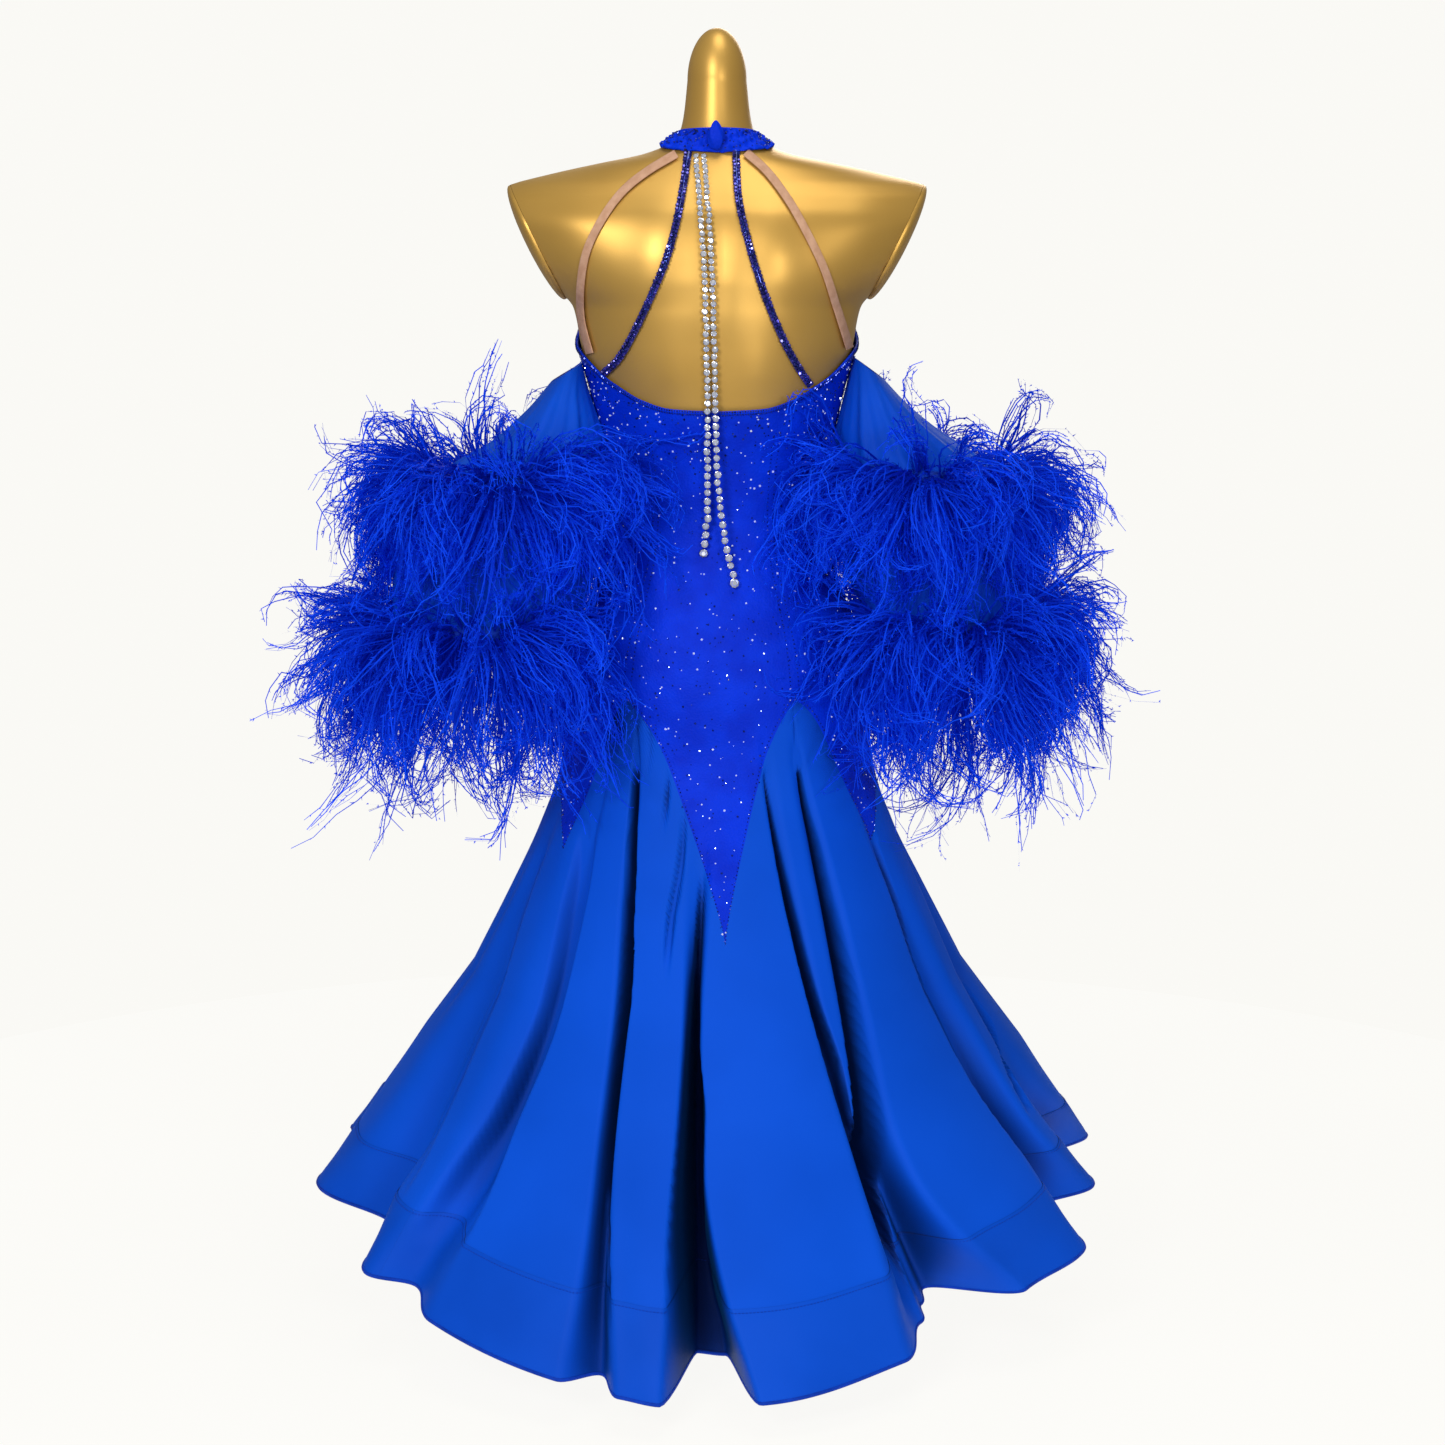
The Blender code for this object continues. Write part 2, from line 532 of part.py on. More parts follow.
def seam_turn(petal, height):
    """The turn of the seam below a petal's point, and of the point itself."""
    turns, depths = fold_lines(max(HEM_LINE, height))
    k = FOLD_NAMES.index(petal["seam_line"])
    following = (k + 1) % len(turns)
    return turns[k] + turn_between(turns[following], turns[k]) * petal["seam_share"]


def edge_turn(petal, godet, height, near):
    """The turn of the seam between a petal and the godet beside it, or of the seam that goes on from
    it, above or below. near is a turn on the same round of the body."""
    point = near + turn_between(seam_turn(petal, min(height, petal["tip"])), near)
    if height <= petal["tip"]:
        return point
    side = near + turn_between(godet["turn"], near)
    share = min(1.0, (height - petal["tip"]) / (godet["tip"] - petal["tip"]))
    return point + (side - point) * sum(weight * share**power for weight, power in PETAL_EDGE)


def petal_places(index):
    """The grid of a sparkling panel, from the neckline down to its point."""
    petal = PETAL_ROWS[index]
    left, right = GODET_ROWS[index - 1], GODET_ROWS[index]
    middle = left["turn"] + turn_between(right["turn"], left["turn"]) / 2

    def across(height):
        """Turns across the panel. The end of the point stays a narrow edge."""
        low = edge_turn(petal, left, height, middle)
        high = edge_turn(petal, right, height, middle)
        low += degrees_for(SEAM_GAP / 2, low, height)
        high -= degrees_for(SEAM_GAP / 2, high, height)
        least = degrees_for(PANEL_END_WIDTH, low, height)
        if high - low < least:
            low, high = (low + high - least) / 2, (low + high + least) / 2
        return [low + (high - low) * j / (PANEL_COLUMNS - 1) for j in range(PANEL_COLUMNS)]

    upper_turns = across(BODY_LEVELS[0])
    tops = [neckline_height(turn) - BINDING_HEIGHT - 2 * SEAM_GAP for turn in upper_turns]
    grid = []
    for i in range(UPPER_ROWS):
        share = i / UPPER_ROWS
        grid.append([(t, top + (BODY_LEVELS[0] - top) * share) for t, top in zip(upper_turns, tops)])
    for height in (*BODY_LEVELS, *SKIRT_LEVELS):
        if height > petal["tip"] - SAME_LEVEL:
            grid.append([(turn, height) for turn in across(height)])
    return grid


def godet_stations(index):
    """What each column of a godet follows: its edges, fold lines, and shares of the way between."""
    left, right = PETAL_ROWS[index], PETAL_ROWS[(index + 1) % len(PETAL_ROWS)]
    first, last = FOLD_NAMES.index(left["seam_line"]), FOLD_NAMES.index(right["seam_line"])
    last = last + (len(FOLDS) if last < first else 0)
    inside = list(range(first + 1, last + (1 if right["seam_share"] > 0 else 0)))
    hem_turns = fold_lines(HEM_LINE)[0]
    marks = [seam_turn(left, HEM_LINE)]
    marks += [hem_turns[k % len(FOLDS)] for k in inside]
    marks.append(seam_turn(right, HEM_LINE))
    depths = [valley_depth(turn, HEM_LINE) for turn in marks]
    stations = ["low edge"]
    for k, line in enumerate([*inside, None]):
        steep = abs(depths[k + 1] - depths[k]) > STEEP_FLANK
        count = max(2 if steep else 1, math.ceil(turn_between(marks[k + 1], marks[k]) / WIDEST_COLUMN_STEP))
        stations += [i / count for i in range(1, count)]
        stations.append("high edge" if line is None else FOLD_NAMES[line % len(FOLDS)])
    return stations


def seam_room(petal, height):
    """Half the room that a godet leaves at its edge: a seam, and at a petal's point its narrow end."""
    at_point = abs(height - petal["tip"]) < SAME_LEVEL
    return SEAM_GAP / 2 + (PANEL_END_WIDTH / 2 + SEAM_GAP / 2 if at_point else 0.0)


def godet_turns(index, stations, height):
    """The turns of a godet's columns at this level, always in order."""
    godet = GODET_ROWS[index]
    left, right = PETAL_ROWS[index], PETAL_ROWS[(index + 1) % len(PETAL_ROWS)]
    middle = godet["turn"]
    low, high = (edge_turn(petal, godet, height, middle) for petal in (left, right))
    low += degrees_for(seam_room(left, height), low, height)
    high -= degrees_for(seam_room(right, height), high, height)
    lines = fold_lines(height)[0]
    turns = [None] * len(stations)
    turns[0], turns[-1] = low, high
    for k, station in enumerate(stations):
        if station in FOLD_NAMES:
            turn = middle + turn_between(lines[FOLD_NAMES.index(station)], middle)
            turns[k] = min(max(turn, low), high)
    known = [k for k, turn in enumerate(turns) if turn is not None]
    for a, b in zip(known, known[1:]):
        for k in range(a + 1, b):
            turns[k] = turns[a] + (turns[b] - turns[a]) * stations[k]
    share = np.maximum.accumulate((np.array(turns) - low) / (high - low))
    even = np.linspace(0.0, 1.0, len(turns))
    even_part = EVEN_AT_TIP if min(np.diff(share)) < EVEN_BELOW / len(turns) else 0.0
    return low + (high - low) * ((1 - even_part) * share + even_part * even)


def godet_places(index):
    stations = godet_stations(index)
    tip = GODET_ROWS[index]["tip"]
    levels = [*[z for z in SKIRT_LEVELS if z < tip - TIP_DROP + SAME_LEVEL], BAND_LINE + SEAM_GAP / 2]
    return [[(turn, z) for turn in godet_turns(index, stations, z)] for z in levels]


def band_places(index):
    stations = godet_stations(index)
    levels = [BAND_LINE - SEAM_GAP / 2, *BAND_LEVELS]
    return [[(turn, z) for turn in godet_turns(index, stations, z)] for z in levels]


def make_skirt_and_bodice():
    for k, petal in enumerate(PETAL_ROWS):
        wall_on_body(petal["name"], petal_places(k), WALL, SPARKLE)
    for k, godet in enumerate(GODET_ROWS):
        wall_on_body(godet["name"], godet_places(k), WALL, CREPE)
        wall_on_body(godet["name"].replace("godet", "hem_band"), band_places(k), WALL, CREPE)


def binding_turns():
    """The binding has the panels' columns, one for each seam."""
    turns = []
    for k in range(len(PETAL_ROWS)):
        turns += [turn_between(turn, 0.0) for turn, height in petal_places(k)[0]]
    turns = sorted(turn for turn in turns if abs(turn) < HALTER_TURN)
    return [turns[0], *[b for a, b in zip(turns, turns[1:]) if b - a > LEAST_TURN_STEP]]


def make_neckline_binding():
    """One bound edge from the collar's front, under one arm, round the low back and up again."""
    turns = binding_turns()
    places = [[(turn, neckline_height(turn) - drop) for turn in turns] for drop in (0.0, BINDING_HEIGHT)]
    wall_on_body("neckline_binding", places, BINDING_WALL, SPARKLE)


def make_collar():
    def snug(turn, height):
        return CLOTH_CLEARANCE

    turns = [360.0 * k / COLLAR_STEPS - 180.0 for k in range(COLLAR_STEPS)]
    places = []
    for share in (0.0, 0.5, 1.0):
        row = []
        for turn in turns:
            low = collar_low(turn)
            high = smooth_column(abs(turn), COLLAR_ROWS, "turn", "high")
            row.append((turn, high + (low - high) * share))
        places.append(row)
    wall_on_body("collar_band", places, COLLAR_WALL, SPARKLE, ring=True, clearance_at=snug)


def make_collar_knot():
    """The gathered knot that covers the collar's closing, standing just above its top edge."""
    size = Vector(KNOT_SIZE)
    seat = body_point(*KNOT_PLACE) + body_normal(*KNOT_PLACE) * (CLOTH_CLEARANCE + COLLAR_WALL)
    made = bmesh.new()
    bmesh.ops.create_uvsphere(made, u_segments=10, v_segments=6, radius=1.0)
    for v in made.verts:
        taper = 1 - KNOT_TAPER * max(0.0, v.co.z)
        v.co = Vector((v.co.x * size.x * taper, v.co.y * size.y, v.co.z * size.z)) + seat
        v.co.y -= size.y + KNOT_STAND
    object_from_bmesh("collar_knot", made, SPARKLE)


def smooth_line(points, steps):
    """Evenly spaced points on a smooth curve through the given ones (Catmull-Rom)."""
    ends = [2 * points[0] - points[1], *points, 2 * points[-1] - points[-2]]
    line = []
    for k in range(1, len(ends) - 2):
        for i in range(8):
            t = i / 8
            p0, p1, p2, p3 = ends[k - 1 : k + 3]
            line.append(
                0.5 * (2 * p1 + (p2 - p0) * t + (2 * p0 - 5 * p1 + 4 * p2 - p3) * t**2
                       + (3 * p1 - p0 - 3 * p2 + p3) * t**3)
            )
    line.append(points[-1])
    lengths = np.concatenate([[0.0], np.cumsum([(b - a).length for a, b in zip(line, line[1:])])])
    wanted = np.linspace(0.0, lengths[-1], steps)
    return [Vector([np.interp(w, lengths, [p[axis] for p in line]) for axis in range(3)]) for w in wanted]


def collar_low(turn):
    return smooth_column(abs(turn_between(turn, 0.0)), COLLAR_ROWS, "turn", "low")


def edge_places(line, width):
    """Places of the two edges of a strip along a line on the back, its top end under the collar."""
    rows = []
    for k, centre in enumerate(line):
        ahead = line[min(k + 1, len(line) - 1)] - line[max(k - 1, 0)]
        across = Vector((-ahead.z, 0.0, ahead.x)).normalized() * width / 2
        row = []
        for corner in (centre - across, centre + across):
            turn = turn_on_back(corner.x, corner.z)
            row.append((turn, collar_low(turn) - SEAM_GAP if k == 0 else corner.z))
        rows.append(row)
    return rows


def make_strap(name, marks, width, thickness, finish):
    """A flat strap sewn in between the collar and the neckline's binding."""
    line = smooth_line([Vector((x, 0.0, z)) for x, z in marks], STRAP_STEPS)
    rows = edge_places(line, width)
    marks = binding_turns()
    tops = [neckline_height(turn) for turn in marks]
    rows[-1] = [(turn, np.interp(turn, marks, tops) + 3 * SEAM_GAP) for turn, height in rows[-1]]
    inner, outer = [], []
    for row in rows:
        points = [(body_point(*place), body_normal(*place)) for place in row]
        inner.append([p + n * STRAP_CLEARANCE for p, n in points])
        outer.append([p + n * (STRAP_CLEARANCE + thickness) for p, n in points])
    wall_from_grids(name, inner, outer, finish)


def make_straps():
    make_strap("nude_strap_left", NUDE_STRAP_LEFT, NUDE_STRAP_WIDTH, NUDE_STRAP_WALL, NUDE)
    make_strap("nude_strap_right", NUDE_STRAP_RIGHT, NUDE_STRAP_WIDTH, NUDE_STRAP_WALL, NUDE)
    make_strap("bead_strap_left", BEAD_STRAP_LEFT, BEAD_STRAP_WIDTH, BEAD_STRAP_WALL, DARK_STONES)
    make_strap("bead_strap_right", BEAD_STRAP_RIGHT, BEAD_STRAP_WIDTH, BEAD_STRAP_WALL, DARK_STONES)


def hang_depths(line):
    """Y of a hanging strand: on the figure where that stands out, and straight between such places."""
    resting = [body_point(turn_on_back(p.x, p.z), p.z).y for p in line]
    heights = [p.z for p in line]
    touching = []
    for k in range(len(line)):
        while len(touching) > 1:
            a, b = touching[-2], touching[-1]
            slope = (resting[k] - resting[a]) / (heights[k] - heights[a])
            if resting[b] <= resting[a] + slope * (heights[b] - heights[a]):
                break
            touching.pop()
        touching.append(k)
    rising = touching[::-1]
    return list(np.interp(heights, [heights[k] for k in rising], [resting[k] for k in rising]))


def make_strand(name, marks):
    """A strand of stones that hangs from the collar, over the low neckline and the seat."""
    line = smooth_line([Vector((x, 0.0, z)) for x, z in marks], STRAND_STEPS)
    stand_off = CLOTH_CLEARANCE + BINDING_WALL + SEAM_GAP
    rows = edge_places(line, STRAND_WIDTH)
    depths = hang_depths(line)
    inner, outer = [], []
    for k, row in enumerate(rows):
        near = min(1.0, (line[0].z - line[k].z) / STRAND_BEND)
        inner.append([])
        outer.append([])
        for turn, height in row:
            point, normal = body_point(turn, height), body_normal(turn, height)
            resting = point + normal * CLOTH_CLEARANCE
            hanging = Vector((point.x, depths[k] - stand_off, height))
            seat = resting.lerp(hanging, near)
            lift = normal.lerp(Vector((0.0, -1.0, 0.0)), near).normalized()
            inner[-1].append(seat)
            outer[-1].append(seat + lift * STRAND_WALL)
    wall_from_grids(name, inner, outer, CRYSTAL)


def sleeve_section(rows, height):
    """The sleeve's centre and half sizes at this height."""
    rising = rows[::-1]
    return {name: smooth_column(height, rising, "height", name) for name in SLEEVE_COLUMNS}


def sleeve_point(rows, height, angle, outward=0.0):
    """A point of a sleeve's inner face, or outward from it. angle is in radians from +X to +Y."""
    section = sleeve_section(rows, height)
    inner_side = -math.copysign(1.0, section["side"])
    open_share = (rows[0]["height"] - height) / (rows[0]["height"] - rows[-1]["height"])
    wave = 1 + sum(size * open_share * math.sin(count * angle + phase) for count, size, phase in SLEEVE_WAVES)
    across = (section["half_width"] * wave + outward) * math.cos(angle)
    along = (section["half_depth"] * wave + outward) * math.sin(angle)
    rise = section["lean"] * inner_side * math.cos(angle)
    return Vector((section["side"] + across, section["depth"] + along, height + rise))


def clear_of_gown(point, clearance):
    """The point, moved out sideways if it lies nearer the gown than clearance."""
    height = min(max(point.z, HEM_LINE), NECKLINE[-1][1])
    turn = math.degrees(math.atan2(point.x, -point.y))
    half_width, back, front, power = (
        smooth_column(height, SECTION_ROWS, "height", name) for name in SECTION_COLUMNS[1:]
    )
    grown = cloth_clearance(turn, height) + WALL + clearance
    depth = (back if point.y < 0 else front) + grown
    reach = abs(point.x / (half_width + grown)) ** power + abs(point.y / depth) ** power
    if reach >= 1:
        return point
    scale = reach ** (-1 / power)
    return Vector((point.x * scale, point.y * scale, point.z))


def clear_of_sleeve(point, rows, clearance):
    """The point, moved out if it lies nearer the sleeve than clearance."""
    if not rows[-1]["height"] - clearance < point.z < rows[0]["height"]:
        return point
    section = sleeve_section(rows, max(point.z, rows[-1]["height"]))
    off = Vector((point.x - section["side"], point.y - section["depth"], 0.0))
    across = off.x / (section["half_width"] + clearance)
    along = off.y / (section["half_depth"] + clearance)
    reach = math.hypot(across, along)
    if reach >= 1:
        return point
    return point + off * (1 / reach - 1)


def band_levels(spec):
    """Edges of a feather trim's tiers, from the top down."""
    top = spec["height"] + FEATHER_BAND_HEIGHT / 2
    return [top - FEATHER_BAND_HEIGHT * k / FEATHER_TIERS for k in range(FEATHER_TIERS + 1)]


def make_sleeve(name, rows, trims):
    """A sheer tube. It has rows at the edges of the trims that lie on it."""
    edges = [level for spec in trims for level in (band_levels(spec)[0], band_levels(spec)[-1])]
    heights = sorted({*[row["height"] for row in rows], *edges}, reverse=True)
    heights = [z for z in heights if z in edges or min(abs(z - edge) for edge in edges) > ROW_ROOM]
    angles = [2 * math.pi * j / SLEEVE_STEPS for j in range(SLEEVE_STEPS)]
    outer, inner = [], []
    for z in heights:
        outer.append([clear_of_gown(sleeve_point(rows, z, a, SLEEVE_WALL), SLEEVE_GAP) for a in angles])
    for face in outer:
        centre = sum(face, Vector()) / len(face)
        inward = [Vector((centre.x - p.x, centre.y - p.y, 0.0)).normalized() for p in face]
        inner.append([p + way * SLEEVE_WALL for p, way in zip(face, inward)])
    wall_from_grids(name, inner, outer, SHEER, ring=True)


def lock_path(root, outward, elevation, length, floor, rows):
    """Three steps of a feather lock that leaves the band and droops."""
    direction = (outward * math.cos(elevation) + Vector((0, 0, math.sin(elevation)))).normalized()
    points, point = [], root
    for share in LOCK_SHARES:
        point = point + direction * length * share
        if point.z < floor:
            point = Vector((point.x, point.y, floor + FLOOR_SPRING * (point.z - floor)))
        point = clear_of_sleeve(point, rows, SLEEVE_CLEARANCE)
        point = clear_of_gown(point, BODY_CLEARANCE)
        points.append(point)
        direction = (direction + Vector((0, 0, -LOCK_DROOP))).normalized()
    return points


def grow_lock(made, face, path):
    """Extrudes a face of the band along a path into a tapering lock with three sides."""
    for centre, radius in zip(path, (*LOCK_RADII, 0.0)):
        grown = bmesh.ops.extrude_discrete_faces(made, faces=[face])["faces"][0]
        old = grown.calc_center_median()
        size = max((v.co - old).length for v in grown.verts)
        for v in grown.verts:
            v.co = centre + (v.co - old) * (radius / size)
        if radius == 0.0:
            bmesh.ops.pointmerge(made, verts=list(grown.verts), merge_co=centre)
            return
        face = grown


def make_feathers(spec, rows):
    """A narrow band round the sleeve, with locks that grow from its outer faces."""
    scatter = np.random.default_rng(spec["seed"])
    clear = SLEEVE_WALL + 2 * SEAM_GAP
    levels = band_levels(spec)
    angles = [2 * math.pi * j / SLEEVE_STEPS for j in range(SLEEVE_STEPS)]
    made = bmesh.new()

    def ring_at(height, outward):
        return [made.verts.new(sleeve_point(rows, height, a, outward)) for a in angles]

    outer = [ring_at(z, clear + FEATHER_BAND_WALL) for z in levels]
    inner = [ring_at(z, clear) for z in levels]
    roots = []
    for j in range(SLEEVE_STEPS):
        k = (j + 1) % SLEEVE_STEPS
        made.faces.new((inner[0][j], inner[0][k], outer[0][k], outer[0][j]))
        made.faces.new((inner[-1][j], inner[-1][k], outer[-1][k], outer[-1][j]))
        for tier in range(FEATHER_TIERS):
            made.faces.new((inner[tier][j], inner[tier][k], inner[tier + 1][k], inner[tier + 1][j]))
            a, b = outer[tier][j], outer[tier][k]
            c, d = outer[tier + 1][k], outer[tier + 1][j]
            roots.append((made.faces.new((a, d, c)), tier, j))
            made.faces.new((a, c, b))
    bmesh.ops.recalc_face_normals(made, faces=made.faces)
    inward = -math.copysign(1.0, rows[0]["side"])
    for face, tier, j in roots:
        angle = angles[j] + math.pi / SLEEVE_STEPS
        if math.cos(angle) * inward > FACING_BODY:
            continue
        angle += math.radians(scatter.uniform(-LOCK_YAW, LOCK_YAW) + (tier - 1) * TIER_YAW)
        outward = Vector((math.cos(angle), math.sin(angle), 0.0))
        if outward.y < 0 and outward.x * inward > SWEEP_FROM:
            outward.x += inward * spec["sweep"] * -outward.y
            outward.normalize()
        rise = spec["high_rise"] + (spec["low_rise"] - spec["high_rise"]) * tier / (FEATHER_TIERS - 1)
        elevation = math.radians(rise + scatter.uniform(-LOCK_PITCH, LOCK_PITCH))
        reach = spec["short"] + (spec["long"] - spec["short"]) * abs(outward.x)
        reach *= scatter.uniform(*LOCK_SPREAD) * (1 + (spec["stretch"] - 1) * tier / (FEATHER_TIERS - 1))
        root = face.calc_center_median()
        grow_lock(made, face, lock_path(root, outward, elevation, reach, spec["floor"], rows))
    object_from_bmesh(spec["name"], made, PLUME)


def make_sleeves():
    sides = {
        "left": rows_of(SLEEVE_COLUMNS, SLEEVE_LEFT),
        "right": rows_of(SLEEVE_COLUMNS, SLEEVE_RIGHT),
    }
    trims = rows_of(FEATHER_COLUMNS, FEATHERS)
    for side, rows in sides.items():
        make_sleeve(f"sleeve_{side}", rows, [spec for spec in trims if spec["sleeve"] == side])
    for spec in trims:
        make_feathers(spec, sides[spec["sleeve"]])


def form_mesh():
    """The whole figure as one closed surface, before its arm ends are cut."""
    steps = FORM_STEPS
    heights = [row["height"] for row in SECTION_ROWS if row["height"] > FORM_BOTTOM]
    for low, high in list(zip(heights, heights[1:])):
        if low > FINE_FORM_LINE and high - low > FINE_FORM_STEP:
            heights.append((low + high) / 2)
    turns = [360.0 * k / steps for k in range(steps)]
    made = bmesh.new()
    foot = []
    for turn in turns:
        edge = body_point(turn, FORM_BOTTOM)
        foot.append(made.verts.new((edge.x * FOOT_SHARE, edge.y * FOOT_SHARE, FORM_BOTTOM - FOOT_DROP)))
    rings = [foot, *[[made.verts.new(body_point(t, z)) for t in turns] for z in sorted(heights)]]
    for low, high in zip(rings, rings[1:]):
        for j in range(steps):
            k = (j + 1) % steps
            made.faces.new((low[j], low[k], high[k], high[j]))
    made.faces.new(rings[0][::-1])
    top = made.verts.new((0.0, 0.0, NECK_CAP_TOP))
    for j in range(steps):
        made.faces.new((rings[-1][j], rings[-1][(j + 1) % steps], top))
    return made


def arm_cut(side):
    """A point of an arm's cut and the cut's outward normal."""
    top, bottom = Vector(ARM_CUT_TOP), Vector(ARM_CUT_BOTTOM)
    run = (top - bottom).normalized()
    middle = (top + bottom) / 2
    return Vector((side * middle.x, 0.0, middle.y)), Vector((side * run.y, 0.0, -run.x))


def make_form():
    """The dress form, cut flat at both arm ends, and the domed caps that close them."""
    made = form_mesh()
    rims = {}
    for name, side in (("left", -1.0), ("right", 1.0)):
        point, normal = arm_cut(side)
        near = [f for f in made.faces if min(v.co.z for v in f.verts) > ARM_CUT_BOTTOM[1] - CUT_REACH]
        verts = dict.fromkeys(v for f in near for v in f.verts)
        edges = dict.fromkeys(e for f in near for e in f.edges)
        cut = bmesh.ops.bisect_plane(
            made, geom=[*verts, *edges, *near], dist=SAME_PLACE,
            plane_co=point, plane_no=normal, clear_outer=True,
        )
        edges = [g for g in cut["geom_cut"] if isinstance(g, bmesh.types.BMEdge)]
        filled = bmesh.ops.contextual_create(made, geom=edges)["faces"]
        rims[name] = ([loop.vert.co.copy() for loop in filled[0].loops], normal)
    object_from_bmesh("dress_form", made, GOLD)
    for name, (rim, normal) in rims.items():
        make_arm_cap(f"arm_cap_{name}", rim, normal)


def make_arm_cap(name, rim, normal):
    """A low dome on an arm's cut, a seam's gap away from it."""
    centre = sum(rim, Vector()) / len(rim)
    made = bmesh.new()

    def ring(share, height):
        return [made.verts.new(centre + (p - centre) * share + normal * (SEAM_GAP + height)) for p in rim]

    rings = [ring(1.0, 0.0)]
    for share, rise in ARM_CAP_RINGS:
        rings.append(ring(share, ARM_CAP_EDGE + (ARM_CAP_BULGE - ARM_CAP_EDGE) * rise))
    count = len(rim)
    made.faces.new(rings[0])
    for low, high in zip(rings, rings[1:]):
        for j in range(count):
            made.faces.new((low[j], low[(j + 1) % count], high[(j + 1) % count], high[j]))
    top = made.verts.new(centre + normal * (SEAM_GAP + ARM_CAP_BULGE))
    for j in range(count):
        made.faces.new((rings[-1][j], rings[-1][(j + 1) % count], top))
    object_from_bmesh(name, made, GOLD)


def turned(name, radius_low, radius_high, bottom, top, segments, finish):
    """A cylinder or cone that stands on the pole's axis."""
    made = bmesh.new()
    bmesh.ops.create_cone(
        made, cap_ends=True, segments=segments, radius1=radius_low, radius2=radius_high, depth=top - bottom
    )
    bmesh.ops.translate(made, verts=made.verts, vec=(0.0, 0.0, (bottom + top) / 2))
    return object_from_bmesh(name, made, finish)


def make_stand():
    """A plain round base, hub, pole and flange, all hidden by the skirt in use."""
    base = turned("stand_base", BASE_RADIUS, BASE_RADIUS, 0.0, BASE_HEIGHT, 36, STEEL)
    edge = base.modifiers.new("edge", "BEVEL")
    edge.width, edge.segments, edge.limit_method = BASE_BEVEL, 1, "ANGLE"
    hub_low = BASE_HEIGHT + SEAM_GAP
    hub_top = hub_low + HUB_HEIGHT
    turned("stand_hub", HUB_RADIUS, HUB_TOP_RADIUS, hub_low, hub_top, 20, STEEL)
    flange_top = FORM_BOTTOM - FOOT_DROP - SEAM_GAP
    flange_low = flange_top - FLANGE_HEIGHT
    turned("stand_pole", POLE_RADIUS, POLE_RADIUS, hub_top + SEAM_GAP, flange_low - SEAM_GAP, 16, STEEL)
    turned("stand_flange", FLANGE_RADIUS, FLANGE_RADIUS, flange_low, flange_top, 20, STEEL)


def main():
    for old in list(bpy.data.objects):
        bpy.data.objects.remove(old)
    parts = bpy.data.collections.new(COLLECTION)
    bpy.context.scene.collection.children.link(parts)
    make_stand()
    make_form()
    make_skirt_and_bodice()
    make_neckline_binding()
    make_collar()
    make_collar_knot()
    make_straps()
    make_strand("crystal_strand_left", STRAND_LEFT)
    make_strand("crystal_strand_right", STRAND_RIGHT)
    make_sleeves()


main()
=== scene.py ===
"""The looks of the ballroom gown on its gold dress form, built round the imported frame.

Metres, +Z up. The gown's back looks along -Y. A place on the body is given by its turn, in degrees
round the body from the centre back towards +X, and by its height.
"""

import math

import bmesh
import bpy
import numpy as np
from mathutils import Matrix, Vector


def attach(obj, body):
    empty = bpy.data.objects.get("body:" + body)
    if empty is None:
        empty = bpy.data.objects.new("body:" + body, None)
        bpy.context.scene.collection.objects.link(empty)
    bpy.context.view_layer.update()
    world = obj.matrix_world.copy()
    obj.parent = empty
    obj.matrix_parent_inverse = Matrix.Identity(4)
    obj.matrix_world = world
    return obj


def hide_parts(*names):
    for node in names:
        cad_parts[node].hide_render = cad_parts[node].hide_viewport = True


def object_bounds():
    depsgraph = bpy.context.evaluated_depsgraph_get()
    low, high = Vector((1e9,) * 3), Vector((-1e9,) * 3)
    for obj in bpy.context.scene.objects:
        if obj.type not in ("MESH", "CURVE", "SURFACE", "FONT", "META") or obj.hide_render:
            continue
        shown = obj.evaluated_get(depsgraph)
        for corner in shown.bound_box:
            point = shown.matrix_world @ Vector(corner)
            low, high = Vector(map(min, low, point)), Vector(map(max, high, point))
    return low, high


WALL = 0.002
SLEEVE_WALL = 0.0015
SEAM_GAP = 0.0003
CLOTH_CLEARANCE = 0.0016
BUST_CLEARANCE = 0.0040
BUST_TURN, BUST_TURN_SPAN, BUST_RISE = 80.0, 30.0, 0.060
BINDING_HEIGHT, BINDING_WALL = 0.005, 0.0035
COLLAR_WALL = 0.003

HEM_LINE = 0.033
LIFT_LINE = 0.350
SIDE_HEM_LIFT = 0.085
FRONT_HEM_LIFT = 0.020
BAND_LINE = 0.112
BODY_LINE = 0.925  # above this level the panels' columns climb to the neckline
FORM_BOTTOM = 0.590
FOOT_SHARE, FOOT_DROP = 0.88, 0.012

